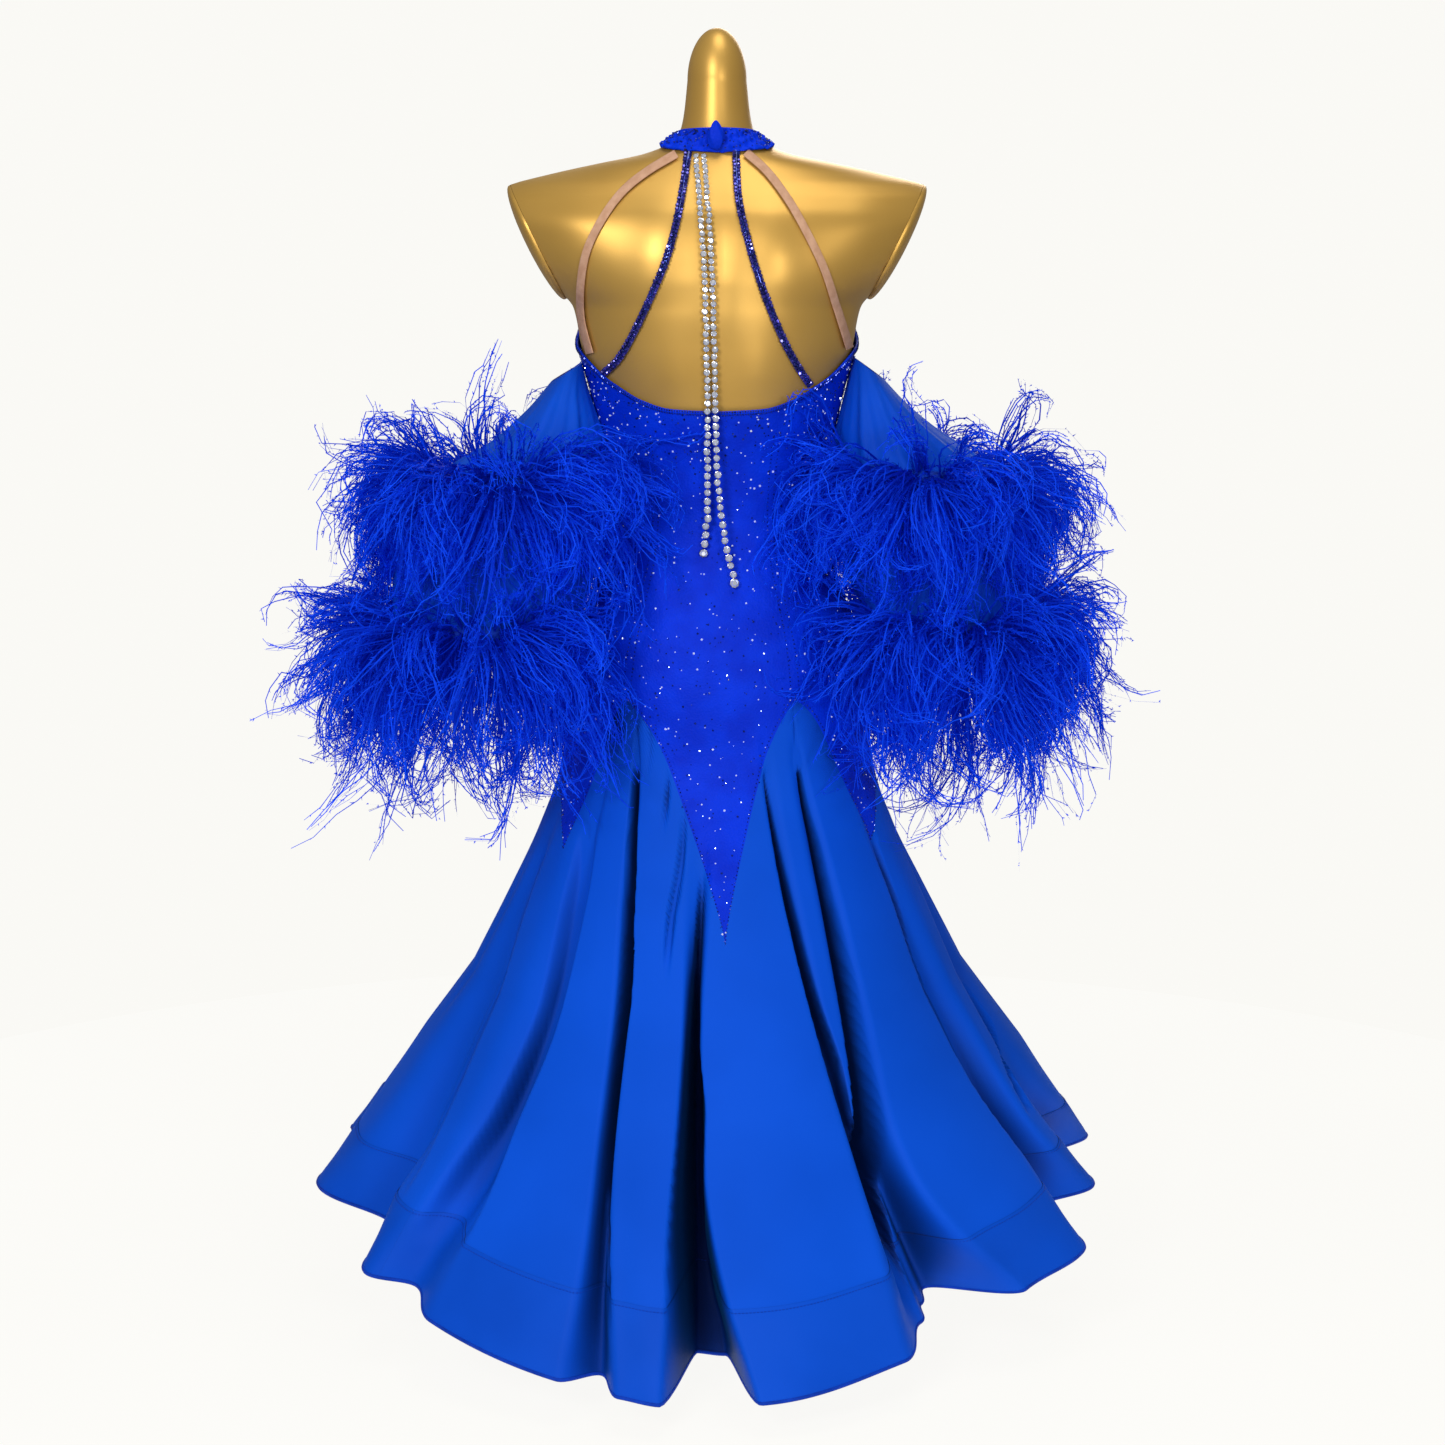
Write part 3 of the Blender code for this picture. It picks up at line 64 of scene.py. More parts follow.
# Each level of the figure and skirt: height, half width, depth behind and before the axis, squareness.
SECTION_COLUMNS = ("height", "half_width", "back", "front", "squareness")
SECTIONS = (
    (0.020, 0.444, 0.492, 0.470, 2.00),
    (0.033, 0.438, 0.488, 0.464, 2.00),
    (0.072, 0.414, 0.466, 0.442, 2.00),
    (0.112, 0.390, 0.444, 0.420, 2.00),
    (0.170, 0.356, 0.404, 0.382, 2.00),
    (0.235, 0.322, 0.352, 0.334, 2.00),
    (0.300, 0.288, 0.302, 0.286, 2.00),
    (0.370, 0.252, 0.246, 0.232, 2.00),
    (0.435, 0.219, 0.198, 0.184, 2.02),
    (0.500, 0.188, 0.158, 0.142, 2.05),
    (0.560, 0.166, 0.131, 0.114, 2.10),
    (0.600, 0.159, 0.122, 0.106, 2.12),
    (0.652, 0.1565, 0.1185, 0.103, 2.15),
    (0.700, 0.148, 0.111, 0.100, 2.15),
    (0.750, 0.130, 0.096, 0.097, 2.12),
    (0.800, 0.112, 0.081, 0.093, 2.10),
    (0.835, 0.107, 0.077, 0.093, 2.10),
    (0.880, 0.111, 0.081, 0.099, 2.10),
    (0.925, 0.121, 0.091, 0.112, 2.12),
    (0.970, 0.131, 0.100, 0.124, 2.15),
    (1.010, 0.142, 0.105, 0.124, 2.15),
    (1.050, 0.150, 0.108, 0.116, 2.12),
    (1.074, 0.172, 0.108, 0.110, 2.08),
    (1.098, 0.198, 0.106, 0.103, 2.03),
    (1.120, 0.216, 0.102, 0.094, 1.98),
    (1.145, 0.232, 0.094, 0.084, 1.90),
    (1.163, 0.233, 0.083, 0.073, 1.82),
    (1.176, 0.217, 0.074, 0.064, 1.75),
    (1.187, 0.177, 0.066, 0.058, 1.72),
    (1.199, 0.122, 0.058, 0.053, 1.80),
    (1.2085, 0.076, 0.0525, 0.0495, 1.90),
    (1.217, 0.054, 0.0485, 0.0470, 1.96),
    (1.230, 0.0390, 0.0430, 0.0420, 2.00),
    (1.250, 0.0342, 0.0388, 0.0378, 2.00),
    (1.280, 0.0309, 0.0346, 0.0336, 2.00),
    (1.304, 0.0284, 0.0314, 0.0304, 2.00),
    (1.320, 0.0235, 0.0262, 0.0252, 2.00),
    (1.331, 0.0150, 0.0167, 0.0162, 2.00),
)
NECK_CAP_TOP = 1.3366
CAP_LINE = 1.283  # the neck's domed top starts here

ARM_CUT_TOP = (0.2125, 1.1730)
ARM_CUT_BOTTOM = (0.1520, 1.0500)
CUT_REACH, SAME_PLACE = 0.001, 1e-6
ARM_CAP_BULGE, ARM_CAP_EDGE = 0.0125, 0.002

# Soft muscles of the form's back: side, height, the two spreads, the lean of the long axis from
# upright towards the outside in degrees, and the rise.
RELIEF = (
    (-0.062, 1.112, 0.022, 0.052, 14.0, 0.0034),
    (0.062, 1.112, 0.022, 0.052, -14.0, 0.0034),
    (0.000, 1.080, 0.012, 0.070, 0.0, -0.0022),
    (-0.040, 0.985, 0.020, 0.040, 0.0, 0.0014),
    (0.040, 0.985, 0.020, 0.040, 0.0, 0.0014),
    (-0.150, 1.135, 0.030, 0.030, 40.0, 0.0022),
    (0.150, 1.135, 0.030, 0.030, -40.0, 0.0022),
)

GODET_COLUMNS = ("name", "turn", "tip")
GODETS = (
    ("godet_front_left", -148.5, 0.652),
    ("godet_side_left", -90.0, 0.566),
    ("godet_back_left", -34.5, 0.652),
    ("godet_back_right", 29.0, 0.652),
    ("godet_side_right", 90.0, 0.566),
    ("godet_front_right", 148.5, 0.652),
)
PETAL_COLUMNS = ("name", "tip", "seam_line", "seam_share")
PETALS = (
    ("panel_front", 0.416, "front centre valley", 0.0),
    ("panel_side_front_left", 0.490, "valley 3", 0.0),
    ("panel_side_back_left", 0.490, "crest 6", 0.30),
    ("panel_back", 0.416, "crest 9 left", 0.17),
    ("panel_side_back_right", 0.490, "valley 10", 0.0),
    ("panel_side_front_right", 0.490, "valley 12", 0.0),
)
PETAL_EDGE = ((0.78, 1.3), (0.22, 9.0))  # weight and power of each term of a petal's edge

# Fold lines of the skirt in order round the body: turn at five levels, depth at the lower four.
FOLD_LEVELS = (0.033, 0.220, 0.360, 0.500, 0.620)
FOLDS = (
    ("front centre valley", (-178.0, -178.0, -179.0, -180.0, -180.0), (0.115, 0.058, 0.024, 0.003)),
    ("crest 1", (-169.0, -168.0, -167.0, -164.0, -160.0), (0.004, 0.000, 0.000, 0.000)),
    ("valley 1", (-156.0, -155.0, -154.0, -152.0, -150.5), (0.100, 0.050, 0.026, 0.010)),
    ("crest 2", (-147.0, -146.0, -146.0, -146.5, -148.0), (0.010, 0.002, 0.000, 0.000)),
    ("valley 2", (-137.0, -136.0, -136.0, -139.0, -145.0), (0.085, 0.040, 0.020, 0.008)),
    ("crest 3", (-127.0, -127.0, -127.0, -130.0, -140.0), (0.012, 0.004, 0.002, 0.000)),
    ("valley 3", (-115.0, -116.0, -118.0, -122.0, -123.0), (0.090, 0.042, 0.018, 0.002)),
    ("crest 4", (-106.0, -107.0, -108.0, -110.0, -105.0), (0.012, 0.000, 0.000, 0.000)),
    ("valley 4", (-95.0, -95.0, -94.0, -92.0, -91.0), (0.075, 0.036, 0.018, 0.006)),
    ("crest 5", (-80.0, -81.0, -81.0, -80.0, -84.0), (0.008, 0.000, 0.000, 0.000)),
    ("valley 5", (-64.0, -66.0, -67.0, -68.0, -57.0), (0.072, 0.036, 0.018, 0.003)),
    ("crest 6", (-54.5, -55.0, -58.0, -60.0, -52.0), (0.006, 0.002, 0.000, 0.000)),
    ("valley 6", (-48.5, -44.0, -42.0, -44.0, -42.0), (0.042, 0.024, 0.014, 0.005)),
    ("crest 7 left", (-41.0, -38.0, -38.0, -38.0, -39.5), (0.012, 0.006, 0.002, 0.000)),
    ("crest 7 right", (-21.0, -22.5, -25.5, -31.0, -33.0), (0.012, 0.006, 0.003, 0.000)),
    ("valley 7", (-16.4, -20.2, -22.0, -27.2, -29.8), (0.052, 0.034, 0.024, 0.010)),
    ("crest 8 left", (-12.4, -16.6, -18.8, -24.0, -27.5), (0.006, 0.002, 0.001, 0.000)),
    ("crest 8 right", (-7.2, -8.2, -8.5, -14.0, -22.0), (0.000, 0.000, 0.000, 0.000)),
    ("centre valley left", (-3.6, -5.6, -6.0, -5.0, -10.0), (0.146, 0.056, 0.024, 0.003)),
    ("centre valley right", (1.6, -3.8, -4.8, -4.0, -9.0), (0.140, 0.056, 0.024, 0.003)),
    ("crest 9 left", (5.6, -1.2, -2.2, 1.0, 5.0), (0.007, 0.002, 0.000, 0.000)),
    ("crest 9 right", (26.0, 23.0, 19.5, 16.0, 12.0), (0.030, 0.006, 0.001, 0.000)),
    ("valley 8", (34.0, 26.2, 22.7, 18.9, 15.5), (0.085, 0.036, 0.020, 0.009)),
    ("crest 10", (37.4, 28.4, 27.0, 25.0, 22.0), (0.112, 0.036, 0.010, 0.001)),
    ("valley 9", (41.0, 30.6, 32.2, 33.0, 29.0), (0.132, 0.044, 0.028, 0.012)),
    ("crest 11 left", (48.5, 36.0, 37.5, 38.5, 33.5), (0.030, 0.005, 0.000, 0.000)),
    ("crest 11 right", (60.0, 55.5, 54.5, 53.0, 46.0), (0.010, 0.003, 0.001, 0.000)),
    ("valley 10", (70.0, 63.0, 62.0, 58.5, 56.0), (0.082, 0.040, 0.020, 0.003)),
    ("crest 12", (79.0, 68.5, 71.0, 78.0, 84.0), (0.032, 0.004, 0.000, 0.000)),
    ("valley 11", (90.0, 74.5, 79.0, 88.0, 90.5), (0.078, 0.014, 0.010, 0.006)),
    ("crest 13", (101.0, 88.0, 92.0, 104.0, 104.0), (0.020, 0.000, 0.000, 0.000)),
    ("valley 12", (112.0, 114.0, 117.0, 121.5, 123.0), (0.088, 0.040, 0.018, 0.002)),
    ("crest 14", (121.0, 122.0, 124.0, 129.0, 139.0), (0.012, 0.002, 0.000, 0.000)),
    ("valley 13", (130.0, 131.0, 134.0, 139.0, 145.0), (0.090, 0.040, 0.020, 0.008)),
    ("crest 15", (140.0, 141.0, 143.0, 146.0, 148.0), (0.010, 0.002, 0.000, 0.000)),
    ("valley 14", (151.0, 151.0, 151.0, 151.5, 150.5), (0.105, 0.050, 0.026, 0.010)),
    ("crest 16", (164.0, 163.0, 161.0, 160.0, 160.0), (0.006, 0.000, 0.000, 0.000)),
)
FOLD_NAMES = [fold[0] for fold in FOLDS]

# Creases and soft troughs of the sides and front, which the photo doesn't show: the fold line, the side
# step from it in degrees, upper and lower end, half width and depth.
CREASES = (
    ("valley 4", 0.0, 0.560, 0.120, 0.0075, 0.0130),
    ("valley 4", -8.0, 0.500, 0.330, 0.0065, 0.0030),
    ("crest 5", 2.0, 0.490, 0.260, 0.0080, 0.0032),
    ("valley 11", 9.0, 0.510, 0.350, 0.0060, 0.0030),
    ("valley 1", 0.0, 0.640, 0.180, 0.0080, 0.0140),
    ("valley 1", -6.0, 0.580, 0.440, 0.0045, 0.0026),
    ("valley 2", 0.0, 0.630, 0.120, 0.0070, 0.0120),
    ("crest 1", 3.0, 0.520, 0.330, 0.0070, 0.0030),
    ("valley 3", 0.0, 0.480, 0.160, 0.0080, 0.0100),
    ("valley 12", 0.0, 0.480, 0.180, 0.0080, 0.0100),
    ("valley 13", 0.0, 0.628, 0.140, 0.0070, 0.0120),
    ("valley 14", 0.0, 0.642, 0.170, 0.0080, 0.0140),
    ("valley 14", 6.5, 0.560, 0.420, 0.0050, 0.0028),
    ("crest 16", -2.0, 0.520, 0.300, 0.0075, 0.0032),
    ("front centre valley", 0.0, 0.410, 0.110, 0.0090, 0.0120),
)
CREASE_FADE = 0.35  # share of a crease's length over which each end fades

# The deep grooves of the back, each a list of rows from the top down: height, turn of its left and
# right lip, and depth.
GROOVES = (
    ((0.640, -30.0, -29.3, 0.0), (0.615, -30.5, -28.9, 0.0016), (0.588, -31.4, -29.0, 0.0016),
     (0.568, -31.4, -28.2, 0.0100), (0.548, -31.0, -27.8, 0.0180), (0.500, -29.4, -25.0, 0.0320),
     (0.453, -27.0, -23.0, 0.0560), (0.364, -23.7, -19.7, 0.0640), (0.294, -22.1, -19.1, 0.0560),
     (0.226, -20.4, -18.3, 0.0400), (0.160, -18.6, -16.8, 0.0200), (0.080, -16.0, -14.0, 0.0)),
    ((0.480, -5.0, -2.9, 0.0), (0.430, -5.6, -3.6, 0.0120), (0.380, -6.3, -4.0, 0.0260),
     (0.334, -6.7, -3.7, 0.0520), (0.266, -7.2, -2.1, 0.0760), (0.169, -7.8, -2.2, 0.0760),
     (0.088, -7.0, 0.6, 0.0420), (0.030, -6.6, 5.4, 0.0)),
    ((0.580, 15.4, 16.4, 0.0), (0.531, 16.9, 18.6, 0.0080), (0.455, 18.4, 21.6, 0.0180),
     (0.365, 20.8, 24.4, 0.0260), (0.291, 22.8, 27.4, 0.0280), (0.218, 25.0, 28.0, 0.0200),
     (0.160, 26.5, 28.0, 0.0)),
    ((0.645, 27.0, 27.8, 0.0), (0.612, 28.5, 30.0, 0.0016), (0.588, 29.2, 31.0, 0.0016),
     (0.568, 29.6, 32.0, 0.0100), (0.540, 30.2, 33.2, 0.0200), (0.489, 31.2, 35.0, 0.0360),
     (0.396, 30.4, 34.9, 0.0620), (0.287, 28.8, 33.0, 0.0680), (0.180, 27.2, 32.2, 0.0600),
     (0.104, 29.3, 33.2, 0.0200), (0.050, 29.5, 34.0, 0.0)),
    ((0.510, 58.0, 62.0, 0.0), (0.439, 56.2, 62.4, 0.0180), (0.361, 54.5, 60.8, 0.0360),
     (0.269, 55.0, 60.9, 0.0400), (0.166, 59.2, 63.6, 0.0240), (0.100, 63.6, 65.6, 0.0)),
    ((0.330, 77.0, 79.5, 0.0), (0.283, 74.0, 78.7, 0.0140), (0.216, 68.6, 71.8, 0.0180),
     (0.165, 69.0, 72.4, 0.0)),
    ((0.548, -10.9, -9.6, 0.0), (0.493, -11.9, -9.4, 0.0060), (0.429, -13.6, -11.0, 0.0070),
     (0.385, -12.8, -11.2, 0.0)),
    ((0.578, -16.9, -15.9, 0.0), (0.548, -17.8, -15.9, 0.0050), (0.520, -18.2, -16.9, 0.0)),
    ((0.642, -25.5, -24.4, 0.0), (0.610, -25.2, -23.0, 0.0016), (0.572, -26.0, -24.4, 0.0)),
    ((0.510, -51.0, -41.0, 0.0), (0.446, -49.0, -38.0, 0.0120), (0.335, -45.5, -36.5, 0.0190),
     (0.231, -47.0, -38.6, 0.0260), (0.160, -50.0, -39.4, 0.0220), (0.080, -52.0, -41.0, 0.0)),
    ((0.490, -70.0, -66.0, 0.0), (0.417, -69.0, -61.8, 0.0140), (0.340, -66.0, -57.6, 0.0220),
     (0.206, -64.0, -55.4, 0.0220), (0.110, -62.0, -55.0, 0.0)),
)
GROOVE_COLUMNS = ("height", "left", "right", "depth")
GROOVE_LIP = 0.20  # share of a groove's width over which each lip turns in
NARROW = 1.7  # how much more of a fold's depth lies close to its valley, away from the hem
FOLD_TOP = 0.650  # no fold reaches above this level
FORM_FOOT = 0.578  # folds may go in freely only below the form's rounded foot
FORM_ROOM, ROOM_GROWTH = 0.0014, 1.7
NORMAL_TURN, NORMAL_RISE = 0.35, 0.001

NECKLINE_COLUMNS = ("turn", "height")
NECKLINE = (
    (0.0, 0.9487),
    (20.0, 0.9510),
    (35.0, 0.9600),
    (47.0, 0.9725),
    (57.0, 0.9830),
    (70.0, 0.9990),
    (80.0, 1.0080),
    (90.0, 1.0140),
    (100.0, 1.0220),
    (110.0, 1.0340),
    (120.0, 1.0500),
    (130.0, 1.0740),
    (140.0, 1.1040),
    (148.0, 1.1340),
    (155.0, 1.1680),
    (163.0, 1.2040),
    (180.0, 1.2040),
)
HALTER_TURN = 162.0

COLLAR_COLUMNS = ("turn", "low", "high")
COLLAR = (
    (0.0, 1.2075, 1.2340),
    (50.0, 1.2110, 1.2325),
    (90.0, 1.2150, 1.2285),
    (130.0, 1.2100, 1.2230),
    (180.0, 1.1990, 1.2170),
)
KNOT_SIZE = (0.0085, 0.0045, 0.0150)
KNOT_PLACE = (-1.5, 1.2245)
KNOT_STAND = 0.0046

# Straps and strands: side along X and height of points on the back, from the collar down.
NUDE_STRAP_LEFT = ((-0.0480, 1.2020), (-0.0700, 1.1890), (-0.0960, 1.1680), (-0.1175, 1.1390),
                   (-0.1320, 1.1090), (-0.1385, 1.0740), (-0.1385, 1.0400),
                   (-0.1305, 1.0080))
NUDE_STRAP_RIGHT = ((0.0350, 1.2025), (0.0510, 1.1880), (0.0720, 1.1600), (0.0910, 1.1270),
                    (0.1090, 1.0900), (0.1230, 1.0480), (0.1345, 1.0130))
BEAD_STRAP_LEFT = ((-0.0300, 1.2020), (-0.0340, 1.1740), (-0.0410, 1.1380), (-0.0515, 1.1010),
                   (-0.0650, 1.0680), (-0.0810, 1.0330), (-0.0985, 1.0020), (-0.1120, 0.9880))
BEAD_STRAP_RIGHT = ((0.0195, 1.2020), (0.0215, 1.1650), (0.0300, 1.1240), (0.0425, 1.0830),
                    (0.0560, 1.0460), (0.0715, 1.0110), (0.0860, 0.9860), (0.0925, 0.9765))
STRAND_LEFT = ((-0.0210, 1.2020), (-0.0168, 1.1500), (-0.0130, 1.0900), (-0.0110, 1.0200),
               (-0.0095, 0.9500), (-0.0100, 0.8900), (-0.0100, 0.8350), (-0.0140, 0.8020))
STRAND_RIGHT = ((-0.0130, 1.2020), (-0.0088, 1.1500), (-0.0050, 1.0900), (-0.0030, 1.0200),
                (-0.0015, 0.9500), (0.0000, 0.8900), (0.0060, 0.8300), (0.0185, 0.7670))
STRAP_CLEARANCE = 0.0021
NUDE_WIDTH, NUDE_WALL = 0.0080, 0.0012
BEAD_WIDTH, BEAD_WALL = 0.0072, 0.0010
BEAD_SIZE, BEAD_PITCH = 0.0045, 0.0041
STONE_SIZES, STONE_PITCHES = (0.0060, 0.0078), (0.0063, 0.0092)  # at the top and the low end

SLEEVE_COLUMNS = ("height", "side", "depth", "half_width", "half_depth", "lean")
SLEEVES = {
    "left": (
        (0.984, -0.1565, -0.004, 0.0165, 0.038, 0.010),
        (0.957, -0.1680, -0.012, 0.0315, 0.054, 0.014),
        (0.930, -0.1785, -0.024, 0.0505, 0.068, 0.014),
        (0.902, -0.1950, -0.036, 0.0750, 0.080, 0.010),
        (0.870, -0.2120, -0.043, 0.0940, 0.086, 0.004),
        (0.800, -0.2295, -0.050, 0.1045, 0.087, 0.000),
        (0.700, -0.2520, -0.052, 0.0860, 0.084, 0.000),
    ),
    "right": (
        (0.988, 0.1585, 0.000, 0.0160, 0.040, 0.012),
        (0.965, 0.1688, -0.004, 0.0312, 0.054, 0.016),
        (0.940, 0.1795, -0.010, 0.0476, 0.064, 0.014),
        (0.910, 0.1955, -0.016, 0.0705, 0.074, 0.010),
        (0.870, 0.2140, -0.021, 0.0910, 0.080, 0.004),
        (0.800, 0.2290, -0.026, 0.1000, 0.082, 0.000),
        (0.700, 0.2528, -0.028, 0.0812, 0.078, 0.000),
    ),
}
SLEEVE_GAP = 0.0015
SLEEVE_WAVES = ((5, 0.030, 0.4), (9, 0.018, 1.9))
SLEEVE_PLEATS = ((14, 0.0022, 0.8), (23, 0.0012, 2.3))  # count round, height in metres, phase

FEATHER_COLUMNS = (
    "name", "sleeve", "height", "long", "short", "low_rise", "high_rise", "stretch", "sweep", "floor", "seed"
)
FEATHERS = (
    ("feathers_upper_left", "left", 0.878, 0.145, 0.190, -78.0, 50.0, 1.15, 0.85, 0.700, 3),
    ("feathers_lower_left", "left", 0.722, 0.125, 0.175, -86.0, 50.0, 1.65, 0.40, 0.470, 5),
    ("feathers_upper_right", "right", 0.878, 0.145, 0.175, -78.0, 50.0, 1.15, 0.30, 0.700, 7),
    ("feathers_lower_right", "right", 0.722, 0.118, 0.170, -86.0, 50.0, 1.65, 0.20, 0.470, 9),
)
FEATHER_BAND_HEIGHT, FEATHER_BAND_WALL = 0.020, 0.003
TUFTS, TUFT_STRANDS = 480, 7
STRAND_POINTS = 11
BARBS = 18
FACING_BODY = 0.93  # a tuft that would face the body more than this is left out
TUFT_SPREAD = (0.003, 0.0085)  # how far a tuft's strands stand off its middle line: root and middle
RISE_SCATTER = 15.0
TUFT_GATHER = 0.14  # share of that spread left at the tip, where the strands cling together
HOOK_ANGLES = (20.0, 190.0)
HOOK_UNDER, HOOK_BACK = 0.84, 0.6  # share of tufts that hook under, and how far the others hook back
SWIRL = 0.24
DROOP = 1.35
LOW_SHARE = 0.72  # below one, more of the tufts leave low on the band and hang
STRAND_HALF_WIDTH, TIP_HALF_WIDTH = 0.00115, 0.00038
BARB_LENGTHS, BARB_HALF_WIDTH = (0.0032, 0.0066), 0.00092
SWIRL_WAVES = ((52.0, 23.0, -38.0), (-31.0, 47.0, 42.0), (36.0, -44.0, 57.0))
PLUME_ROOM = 0.0095  # how far plumes may stand outside the CAD model's box

CAMERA_PLACE = (0.0, -3.3, 1.15)
CAMERA_PITCH = 9.29
CAMERA_LENS = 77.9
PHOTO_WIDTH, PHOTO_AXIS = 1445.0, 717.0
FLOOR_RADIUS, FLOOR_SIDES = 1.4, 96

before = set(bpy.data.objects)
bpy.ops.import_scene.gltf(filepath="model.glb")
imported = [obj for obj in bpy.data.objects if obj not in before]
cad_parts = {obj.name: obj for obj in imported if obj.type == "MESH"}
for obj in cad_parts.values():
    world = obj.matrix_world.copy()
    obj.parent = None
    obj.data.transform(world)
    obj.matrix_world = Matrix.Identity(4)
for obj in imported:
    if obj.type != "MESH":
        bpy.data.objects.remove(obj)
CAD_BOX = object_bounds()


def rows_of(columns, table):
    return [dict(zip(columns, row)) for row in table]


def column(rows, key, value):
    """A monotone cubic through a table's rows, for arrays."""
    ordered = sorted(rows, key=lambda row: row[key])
    xs = np.array([row[key] for row in ordered])
    ys = np.array([row[value] for row in ordered])
    steps = np.diff(xs)
    slopes = np.diff(ys) / steps
    tangents = np.zeros(len(xs))
    tangents[0], tangents[-1] = slopes[0], slopes[-1]
    for i in range(1, len(xs) - 1):
        before, after = slopes[i - 1], slopes[i]
        tangents[i] = 0.0 if before * after <= 0 else 2 * before * after / (before + after)

    def at(x):
        x = np.clip(np.asarray(x, float), xs[0], xs[-1])
        k = np.clip(np.searchsorted(xs, x) - 1, 0, len(xs) - 2)
        t = (x - xs[k]) / steps[k]
        return (
            (2 * t**3 - 3 * t**2 + 1) * ys[k]
            + (t**3 - 2 * t**2 + t) * steps[k] * tangents[k]
            + (3 * t**2 - 2 * t**3) * ys[k + 1]
            + (t**3 - t**2) * steps[k] * tangents[k + 1]
        )

    return at


SECTION = {name: column(rows_of(SECTION_COLUMNS, SECTIONS), "height", name) for name in SECTION_COLUMNS[1:]}
NECK = column(rows_of(NECKLINE_COLUMNS, NECKLINE), "turn", "height")
COLLAR_LOW = column(rows_of(COLLAR_COLUMNS, COLLAR), "turn", "low")
COLLAR_HIGH = column(rows_of(COLLAR_COLUMNS, COLLAR), "turn", "high")
GODET_ROWS = rows_of(GODET_COLUMNS, GODETS)
PETAL_ROWS = rows_of(PETAL_COLUMNS, PETALS)
LEVELS = np.array(FOLD_LEVELS)
FOLD_TURNS = np.array([turns for name, turns, depths in FOLDS])
FOLD_DEPTHS = np.array([(*depths, 0.0) for name, turns, depths in FOLDS])
GROOVE_TABLES = [
    {name: column(rows_of(GROOVE_COLUMNS, rows), "height", name) for name in GROOVE_COLUMNS[1:]}
    for rows in GROOVES
]


def turn_between(turn, other):
    """Signed difference in degrees, the short way round."""
    return (turn - other + 180.0) % 360.0 - 180.0


def smooth_step(t):
    t = np.clip(t, 0.0, 1.0)
    return t * t * (3 - 2 * t)


def lifted(heights, turns):
    """The real height of a level of the skirt at this turn."""
    side = np.sin(np.radians(turns)) ** 2
    front = (1 - np.cos(np.radians(turns))) / 2
    lift = SIDE_HEM_LIFT * side + FRONT_HEM_LIFT * front
    share = np.clip((LIFT_LINE - heights) / (LIFT_LINE - HEM_LINE), 0.0, None)
    return heights + share * lift


def through_levels(values, heights):
    """Catmull-Rom through each line's values at the fold levels: one row for a line."""
    heights = np.clip(heights, LEVELS[0], LEVELS[-1])
    low = np.clip(np.searchsorted(LEVELS, heights, side="right") - 1, 0, len(LEVELS) - 2)
    high = low + 1
    before, after = np.maximum(low - 1, 0), np.minimum(high + 1, len(LEVELS) - 1)
    span = LEVELS[high] - LEVELS[low]
    t = (heights - LEVELS[low]) / span
    start = (values[:, high] - values[:, before]) / (LEVELS[high] - LEVELS[before]) * span
    end = (values[:, after] - values[:, low]) / (LEVELS[after] - LEVELS[low]) * span
    return (
        (2 * t**3 - 3 * t**2 + 1) * values[:, low]
        + (t**3 - 2 * t**2 + t) * start
        + (3 * t**2 - 2 * t**3) * values[:, high]
        + (t**3 - t**2) * end
    )


def valley_depths(turns, heights, radii):
    """Depth of the skirt's folds and creases."""
    lines = through_levels(FOLD_TURNS, heights)
    depths = np.maximum(0.0, through_levels(FOLD_DEPTHS, heights))
    each = np.arange(len(turns))
    wrapped = lines[0] + (turns - lines[0]) % 360.0
    k = (lines <= wrapped).sum(axis=0) - 1
    after = (k + 1) % len(FOLDS)
    start = lines[k, each]
    end = lines[after, each] + np.where(after == 0, 360.0, 0.0)
    swing = (1 - np.cos(np.pi * (wrapped - start) / (end - start))) / 2
    low, high = depths[k, each], depths[after, each]
    power = 1 + NARROW * smooth_step((heights - 0.04) / 0.16)
    swing = np.where(high > low, swing**power, 1 - (1 - swing) ** power)
    depth = low + (high - low) * swing
    for name, step, top, low, width, size in CREASES:
        centre = lines[FOLD_NAMES.index(name)] + step
        across = np.radians(turn_between(turns, centre)) * radii
        length = top - low
        ends = smooth_step((top - heights) / (CREASE_FADE * length))
        ends *= smooth_step((heights - low) / (CREASE_FADE * length))
        depth = depth + size * ends * np.exp(-((across / width) ** 2))
    for groove in GROOVE_TABLES:
        left, right = groove["left"](heights), groove["right"](heights)
        lip = GROOVE_LIP * (right - left)
        inside = smooth_step(turn_between(turns, left) / lip) * smooth_step(turn_between(right, turns) / lip)
        depth = depth + inside * groove["depth"](heights)
    depth = np.minimum(depth, FORM_ROOM + ROOM_GROWTH * np.maximum(0.0, FORM_FOOT - heights))
    return np.where(heights < FOLD_TOP, depth, 0.0)


def relief(x, z):
    """Soft muscles on the bare back of the form."""
    rise = np.zeros_like(x)
    for side, height, wide, tall, lean, size in RELIEF:
        a = math.radians(lean)
        along = (x - side) * math.sin(a) + (z - height) * math.cos(a)
        across = (x - side) * math.cos(a) - (z - height) * math.sin(a)
        rise = rise + size * np.exp(-((across / wide) ** 2) - (along / tall) ** 2)
    return rise * smooth_step((z - 0.955) / 0.03) * smooth_step((1.195 - z) / 0.03)


